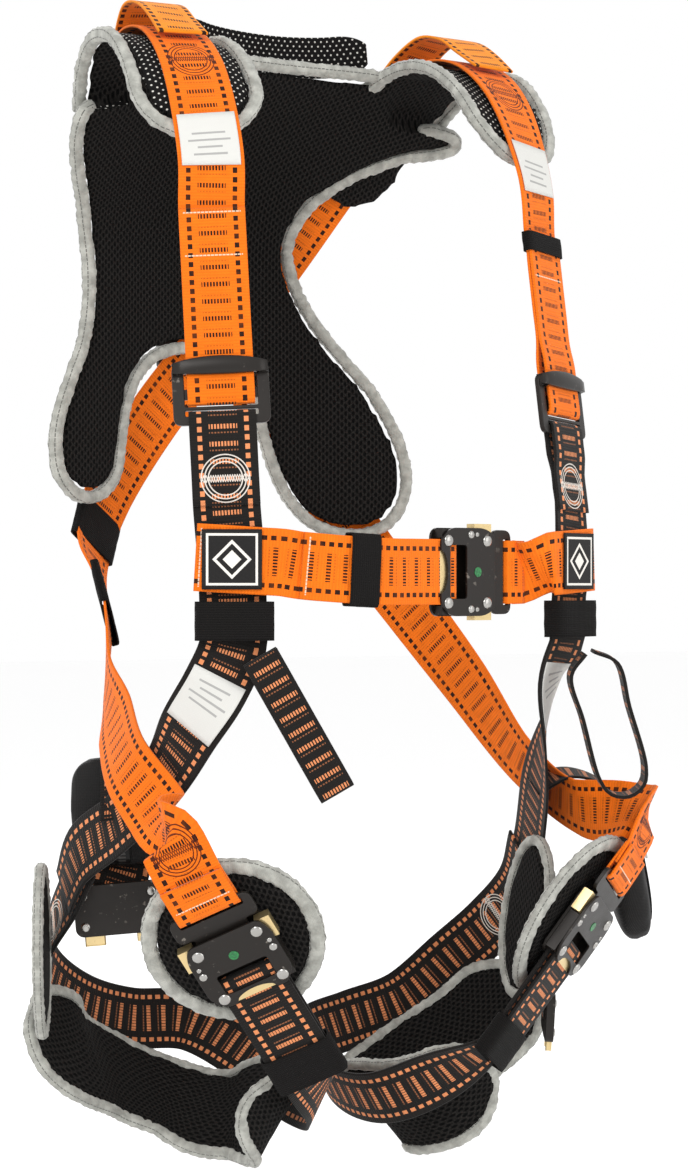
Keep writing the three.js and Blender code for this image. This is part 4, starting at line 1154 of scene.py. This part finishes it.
# %% Torso adjusters
for s in (-1, 1):
    fitting = ADJUSTER[s]
    outer = [(-32.5, -21, 6), (32.5, -21, 6), (32.5, 21, 6), (-32.5, 21, 6)]
    upper = [(-24.5, -15), (24.5, -15), (24.5, 8.6), (-24.5, 8.6)]
    lower = [(-24.5, 11.0), (24.5, 11.0), (24.5, 15), (-24.5, 15)]
    outlines = [rounded_outline(outer), rounded_outline(upper, 1.5), rounded_outline(lower, 1.0)]
    made = plate(f"{SIDE[s]}_adjuster_plate", fitting, outlines,
                 -1.8, 1.8, SATIN, "root", f"{SIDE[s]}_adjuster_frame", edge=0.6)
    bm = bmesh.new()
    bmesh.ops.create_cube(bm, size=1)
    bmesh.ops.subdivide_edges(bm, edges=bm.edges, cuts=9, use_grid_fill=True)
    for vert in bm.verts:
        x, y, z = vert.co * 2
        swell = 1 - x * x
        across = x * 32
        along = -17.2 + y * (3.6 + 2.6 * swell) - 1.4 * swell
        out = 3.4 + (1 + z) * (0.9 + 1.3 * swell * (1 - 0.6 * y * y)) + 1.0 * min(1, swell * 6)
        vert.co = fitting.point(along, across, out) * MM
    bmesh.ops.recalc_face_normals(bm, faces=bm.faces)
    finished(f"{SIDE[s]}_adjuster_arch", bm, [SATIN])
    bm = bmesh.new()
    for end in (-1, 1):
        made = bmesh.ops.create_cube(bm, size=1)
        for vert in made["verts"]:
            x, y, z = vert.co
            vert.co = fitting.point(-16.6 + y * 7, end * 28.6 + x * 6, 2.4 + z * 3.6) * MM
    bmesh.ops.bevel(bm, geom=bm.edges[:], offset=0.0008, affect="EDGES", segments=2, profile=0.5, material=-1)
    finished(f"{SIDE[s]}_adjuster_posts", bm, [SATIN], smooth=False)
print("two torso adjusters with arched top bars")

# %% [markdown]
# Small sewn pieces: elastic keepers that hold strap tails, square patches at the ends of the chest
# connector, blank white care labels with grey rules in place of print, and loops of narrow webbing.

# %% Elastic, labels and patches
def elastic_cloth():
    finish = Finish("elastic", Roughness=0.85, Specular_IOR_Level=0.15)
    u, v = finish.cloth()[1:]
    rib = v.wave(0.0016)
    cord = u.wave(0.0012)
    finish.drive(Base_Color=finish.mix(rib * 0.6, colour(24, 22, 21), colour(10, 9, 9)))
    finish.bump(rib + cord * 0.4, 0.0006, 0.8)
    return finish.material


def label_cloth():
    finish = Finish("blank_label", Roughness=0.75, Specular_IOR_Level=0.2)
    u, v = finish.cloth()[1:]
    weave = u.wave(0.0007) * v.wave(0.0007)
    row = (v / 0.0052).math("FLOOR")
    reach = 0.0145 - (row % 3.0) * 0.003
    rule = (abs((v % 0.0052) - 0.0026) < 0.00075) * (abs(u) < reach)
    inside = (v > 0.005) * (v < 0.026)
    ground = finish.mix(weave, colour(206, 205, 200), colour(224, 224, 220))
    finish.drive(Base_Color=finish.mix(rule * inside * 0.6, ground, colour(120, 120, 120)))
    finish.bump(weave, 0.0002, 0.5)
    return finish.material


def patch_cloth():
    finish = Finish("sewn_patch", Roughness=0.6, Specular_IOR_Level=0.25)
    where, u, v = finish.cloth()
    up = v - 0.02
    square = abs(u).math("MAXIMUM", abs(up))
    border = (abs(square - 0.0165) < 0.0008)
    diamond = abs(u) + abs(up)
    emblem = (abs(diamond - 0.0118) < 0.0013).math("MAXIMUM", (diamond < 0.0062))
    fibre = finish.noise(where, 700.0, 2.0)
    ground = finish.mix(fibre, colour(14, 13, 13), colour(30, 28, 27))
    mark = border.math("MAXIMUM", emblem)
    finish.drive(Base_Color=finish.mix(mark, ground, colour(226, 222, 214)))
    finish.bump(mark * 0.6 + fibre * 0.3, 0.0004, 0.5)
    return finish.material


ELASTIC, LABEL, PATCH = elastic_cloth(), label_cloth(), patch_cloth()
LOOP_CLOTH = webbing("narrow_black_webbing", BLACK, PEACH, WHITE_THREAD)
LOOP_ORANGE = webbing("loop_orange_webbing", colour(255, 150, 30), TRACER, WHITE_THREAD)


SLEEVE_WALL = 1.3


def sleeve(name, fitting, width, room, length, body="root", replaces=None):
    """An elastic tube round a strap: room is half its inner depth."""
    bm = bmesh.new()
    bmesh.ops.create_grid(bm, x_segments=40, y_segments=14, size=1)
    layer = bm.loops.layers.uv.new("cloth")
    for vert in bm.verts:
        turn = math.pi * (vert.co.x + 1)
        along = vert.co.y * length / 2
        c, n = math.cos(turn), math.sin(turn)
        power = (abs(c) ** 7 + abs(n) ** 7) ** (-1 / 7)
        wobble = 0.35 * noise.noise(Vector((along * 0.16, turn * 1.4, length)))
        pinch = 0.6 * (along / length * 2) ** 2
        across = c * power * (width / 2 + SLEEVE_WALL / 2 + wobble * 0.5)
        out = n * power * (room + SLEEVE_WALL / 2 + wobble - pinch * 0.3)
        for link in vert.link_loops:
            link[layer].uv = (turn / (2 * math.pi) * 2 * (width + room) * MM, along * MM)
        vert.co = fitting.point(along, across, out) * MM
    bmesh.ops.remove_doubles(bm, verts=bm.verts, dist=1e-5)
    bmesh.ops.recalc_face_normals(bm, faces=bm.faces)
    made = finished(name, bm, [ELASTIC], body)
    solid = made.modifiers.new("wall", "SOLIDIFY")
    solid.thickness, solid.offset = SLEEVE_WALL * MM, 0
    if replaces:
        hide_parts(replaces)


for s in (-1, 1):
    side = SIDE[s]
    centre = Fitting((s * 137, -137, -404), (0, 0, -1), (s * 0.4, -0.92, 0))
    sleeve(f"{side}_chest_strap_keeper", centre, 50, 7.3, 26, replaces=f"{side}_front_keeper")
    buckle = LEG_BUCKLE[s]
    tail = Fitting(buckle.point(96, 0, 0), buckle.u, buckle.n)
    sleeve(f"{side}_leg_tail_keeper", tail, 48.5, 5.2, 30)
    if s > 0:
        tail = Fitting(ADJUSTER[s].point(-120, 0, 0), ADJUSTER[s].u, ADJUSTER[s].n)
        sleeve("left_tail_keeper", tail, 47, 3.2, 14)
    place, face = lifted(chest_stop(s), CHEST_LIFT + 1.5)
    centre = Fitting(place, (0, 0, 1), face)
    rows = [(centre.point(a, 0, 0.7), centre.v, centre.n, a + 20, k) for k, a in enumerate(range(-20, 21, 4))]
    band(f"{side}_square_patch", rows, [PATCH], width=40, thickness=1.3, ripple=0.15,
         replaces=f"{side}_chest_patch")
    rows = route_rows(cross_web_stops(s), step=5, start=16.8, end=17.42, lift=-1.9)
    band(f"{side}_care_label", rows, [LABEL], width=40, thickness=0.7, ripple=0.3,
         replaces=f"{side}_shoulder_label")

    first, last = (2.75, 4.0) if s < 0 else (2.6, 3.7)
    rows = route_rows(front_stops(s), step=4, start=first, end=last, lift=1.5)
    band(f"{side}_lower_label", rows, [LABEL], width=38, thickness=0.7, ripple=0.4)


def around(rows, place):
    """A fitting frame that follows a strap at one place of its route."""
    centre, across, out = min(rows, key=lambda row: abs(row[4] - place))[:3]
    return Fitting(centre, out.cross(across), out)


rows = route_rows(cross_web_stops(1))
for place, length in ((26.55, 34), (27.85, 44)):
    sleeve(f"park_loop_{length}", around(rows, place), 46, 2.4, length)

near = CHEST_BUCKLE.point(72)
far = lifted(BOW[1], 1.7)[0]
centre = Fitting(near.lerp(far, 0.5), far - near, (0, -1, 0))
sleeve("chest_tail_keeper", centre, 47, 5.4, 22, body="chest_keeper", replaces="chest_keeper")

ARREST = {
    -1: (Fitting((-127, -152, -426), (0.5, -0.1, -0.86), (-0.4, -0.9, 0)), 2.6, 2.2),
    1: (Fitting((143, -150, -426), (0.25, -0.1, -0.96), (0.86, -0.5, 0)), 17, 3),
}
for s, (fitting, spread, neck_room) in ARREST.items():
    down = [fitting.ply(a, -neck_room if a < 2 else -spread, -1) for a in (1.8, 14, 46)]
    up = [fitting.ply(a, neck_room if a < 2 else spread, 1) for a in (46, 14, 1.8)]
    stops = down + fitting.hairpin(108 - spread, spread, -1) + up
    band(f"{SIDE[s]}_lanyard_loop", stops, [LOOP_CLOTH], width=25, thickness=2.4,
         body=f"{SIDE[s]}_arrest_loop", replaces=f"{SIDE[s]}_arrest_loop", step=4)
    stops = [
        stop(s * 130, -50, 3, s * 0.1, -0.6, 0.8),
        stop(s * 128, -30, 17, 0, -0.5, 0.86),
        stop(s * 126, -8, 30, 0, -0.2, 0.97),
        stop(s * 123, 18, 34, 0, 0.2, 0.97),
        stop(s * 117, 44, 20, 0, 0.7, 0.7),
        stop(s * 110, 64, 0, 0, 0.75, 0.65),
    ]
    band(f"{SIDE[s]}_retrieval_loop", stops, [LOOP_ORANGE], width=37, step=4,
         replaces=f"{SIDE[s]}_shoulder_loop")

# %% [markdown]
# A padded collar stands at the back of the neck, and two zipped pouches of coated nylon hang at the
# hips. The pouches are blown up like the pads, and the collar is a thick band rounded by subdivision;
# the zip is a narrow band with its teeth in the cloth's map.

# %% Collar and pouches
collar_stops = [
    stop(-82, 52, 26, -0.3, 0.9, 0.2),
    stop(-50, 66, 22, -0.15, 0.98, 0.1),
    stop(0, 72, 20, 0, 1, 0.1),
    stop(50, 66, 22, 0.15, 0.98, 0.1),
    stop(82, 52, 26, 0.3, 0.9, 0.2),
]
rows = route_rows(collar_stops, step=3)
widths = [31 * share for share in rounded_scale(rows, 26)]
collar = band("neck_cushion", rows, [DOTTED], width=widths, thickness=8.5,
              replaces="neck_collar", ripple=1.2)
rounded(collar, levels=2)

nylon = Finish("coated_nylon", Roughness=0.6, Specular_IOR_Level=0.25)
where, axes = nylon.place()
weave = axes[0].wave(0.0011) * axes[2].wave(0.0011)
fold_and_painted_shade = nylon.noise(where, 38.0, 3.0)
# The fold noise also lightens the colour on the ridges and darkens it in the creases: painted light and shade
# of the folds.
nylon.drive(Base_Color=nylon.mix(weave * 0.6 + fold_and_painted_shade * 0.3, colour(12, 11, 11), colour(30, 28, 27)))
nylon.bump(weave * 0.25 + fold_and_painted_shade * 2.2, 0.002, 0.5)

zip_cloth = Finish("zip", Roughness=0.5, Specular_IOR_Level=0.3)
u, v = zip_cloth.cloth()[1:]
tooth = ((v % 0.0024) < 0.0014) * (abs(u) < 0.0026)
zip_cloth.drive(Base_Color=zip_cloth.mix(tooth, colour(14, 13, 13), colour(74, 72, 70)))
zip_cloth.bump(tooth, 0.001, 0.8)

POUCHES = {
    -1: (Fitting((-148, 10, -540), (0.05, 0, -1), (-0.5, -0.86, 0)), 76, 84, 24),
    1: (Fitting((225, -81, -589), (0.3, 0.1, -0.95), (0.85, -0.5, 0.2)), 68, 118, 32),
}
for s, (fitting, width, length, depth) in POUCHES.items():
    pouch = stuffed(f"{SIDE[s]}_zip_pouch", f"{SIDE[s]}_hip_pouch", voxel=4.0, draw_in=2.0,
                    cap=3.0)
    pouch.data.materials.append(nylon.material)
    for face in pouch.data.polygons:
        face.use_smooth = True
    rounded(pouch)
    rows = []
    for k in range(21):
        share = k / 10 - 1
        bulge = (1 - abs(share) ** 3) ** 0.5 if abs(share) < 1 else 0
        rows.append((fitting.point(share * length * 0.43, 0, depth / 2 * (0.55 + 0.45 * bulge) + 0.4),
                     fitting.v, fitting.n, (share + 1) * length * 0.43, k))
    band(f"{SIDE[s]}_zip", rows, [zip_cloth.material], width=11, thickness=1.0, ripple=0.1)

# %% [markdown]
# A spare relief buckle hangs at each hip. It shows its back: a plain plate with four rivets and the
# ends of two brass tabs.

# %% Relief buckles
RELIEF = {
    -1: Fitting((-154, 2, -608), (0.1, 0, -1), (-0.5, -0.86, 0)),
    1: Fitting((182, -46, -700), (0, 0.1, -1), (0.8, -0.5, 0)),
}
for s, fitting in RELIEF.items():
    spots = [(x, y, 3.0, 3.4) for x in (-24, 24) for y in (-11, 11)]
    domes(f"{SIDE[s]}_relief_rivets", fitting, spots, STEEL, "root")
    bm = bmesh.new()
    for x in (-18, 18):
        made = bmesh.ops.create_cube(bm, size=1)
        for vert in made["verts"]:
            a, b, c = vert.co
            vert.co = fitting.point(21 + b * 6.4, x + a * 13, c * 3.2) * MM
    bmesh.ops.bevel(bm, geom=bm.edges[:], offset=0.0007, affect="EDGES", segments=2, profile=0.5, material=-1)
    finished(f"{SIDE[s]}_relief_tabs", bm, [BRASS], smooth=False)
    print(f"{SIDE[s]} relief buckle: {len(spots)} rivets and two tabs")

# %% [markdown]
# Short black bands hang the pouches and the relief buckles from the hip straps, so nothing floats.

# %% Hangers
for s, (pouch, _, length, _) in POUCHES.items():
    top = pouch.point(-length / 2 - 3)
    front = lifted(front_stops(s)[6 if s < 0 else 5], -2.4)
    over = front[0].lerp(top, 0.5) + Vector((0, 0, 12))
    stops = [(front[0] + Vector((0, 0, 4)), Vector((s * 0.5, -0.5, 0.7))),
             (over, Vector((s * 0.2, -0.3, 0.9))),
             (top, (pouch.n + Vector((0, 0, 0.6))).normalized()),
             (pouch.point(-length / 2 + 14), pouch.n)]
    band(f"{SIDE[s]}_pouch_hanger", stops, [LOOP_CLOTH], width=25, step=4, ripple=0.2)
    relief = RELIEF[s]
    if s < 0:
        stops = [(pouch.point(28, 0, -6), pouch.n), (pouch.point(40, 0, -4), pouch.n),
                 (relief.point(-12, 0, -3), relief.n), (relief.point(4, 0, -3.6), relief.n)]
    else:
        stops = [lifted(front_stops(s)[-1], -2.6), stop(190, -8, -652, 1, -0.1, 0.1),
                 (relief.point(-14, 0, -3), relief.n), (relief.point(4, 0, -3.6), relief.n)]
    band(f"{SIDE[s]}_relief_hanger", stops, [LOOP_CLOTH], width=38 if s < 0 else 25,
         step=4, ripple=0.2)

# %% [markdown]
# A plain pale floor and three large soft lights, as in a product studio: a broad key from the front
# left, a weaker fill from the right, and one from behind and above.

# %% Floor and light
FLOOR_LEVEL = -0.86
bm = bmesh.new()
bmesh.ops.create_grid(bm, x_segments=1, y_segments=1, size=14)
for vert in bm.verts:
    vert.co.z = FLOOR_LEVEL
mesh = bpy.data.meshes.new("floor")
bm.to_mesh(mesh)
bm.free()
floor = bpy.data.objects.new("floor", mesh)
COLLECTION.objects.link(floor)
floor.data.materials.append(Finish("pale_floor", Base_Color=(0.98, 0.98, 0.98, 1), Roughness=0.9).material)


def soft_light(name, place, size, watts):
    """A round area light that looks at the middle of the harness."""
    light = bpy.data.lights.new(name, "AREA")
    light.shape = "DISK"
    light.size = size
    light.energy = watts
    made = bpy.data.objects.new(name, light)
    made.location = place
    aim = Vector((0, 0, -0.35)) - Vector(place)
    made.rotation_euler = aim.to_track_quat("-Z", "Y").to_euler()
    COLLECTION.objects.link(made)


soft_light("key", (-2.4, -2.0, 1.6), 1.6, 46)
soft_light("fill", (1.6, -2.4, 0.4), 2.0, 16)
soft_light("back", (0.6, 2.6, 1.6), 2.0, 30)
world = bpy.data.worlds.new("studio")
world.use_nodes = True
world.node_tree.nodes["Background"].inputs["Color"].default_value = (1, 1, 1, 1)
world.node_tree.nodes["Background"].inputs["Strength"].default_value = 1.0
bpy.context.scene.world = world
bpy.context.scene.view_settings.view_transform = "Standard"
print(f"three soft lights and a pale floor {-FLOOR_LEVEL} m under the shoulders")
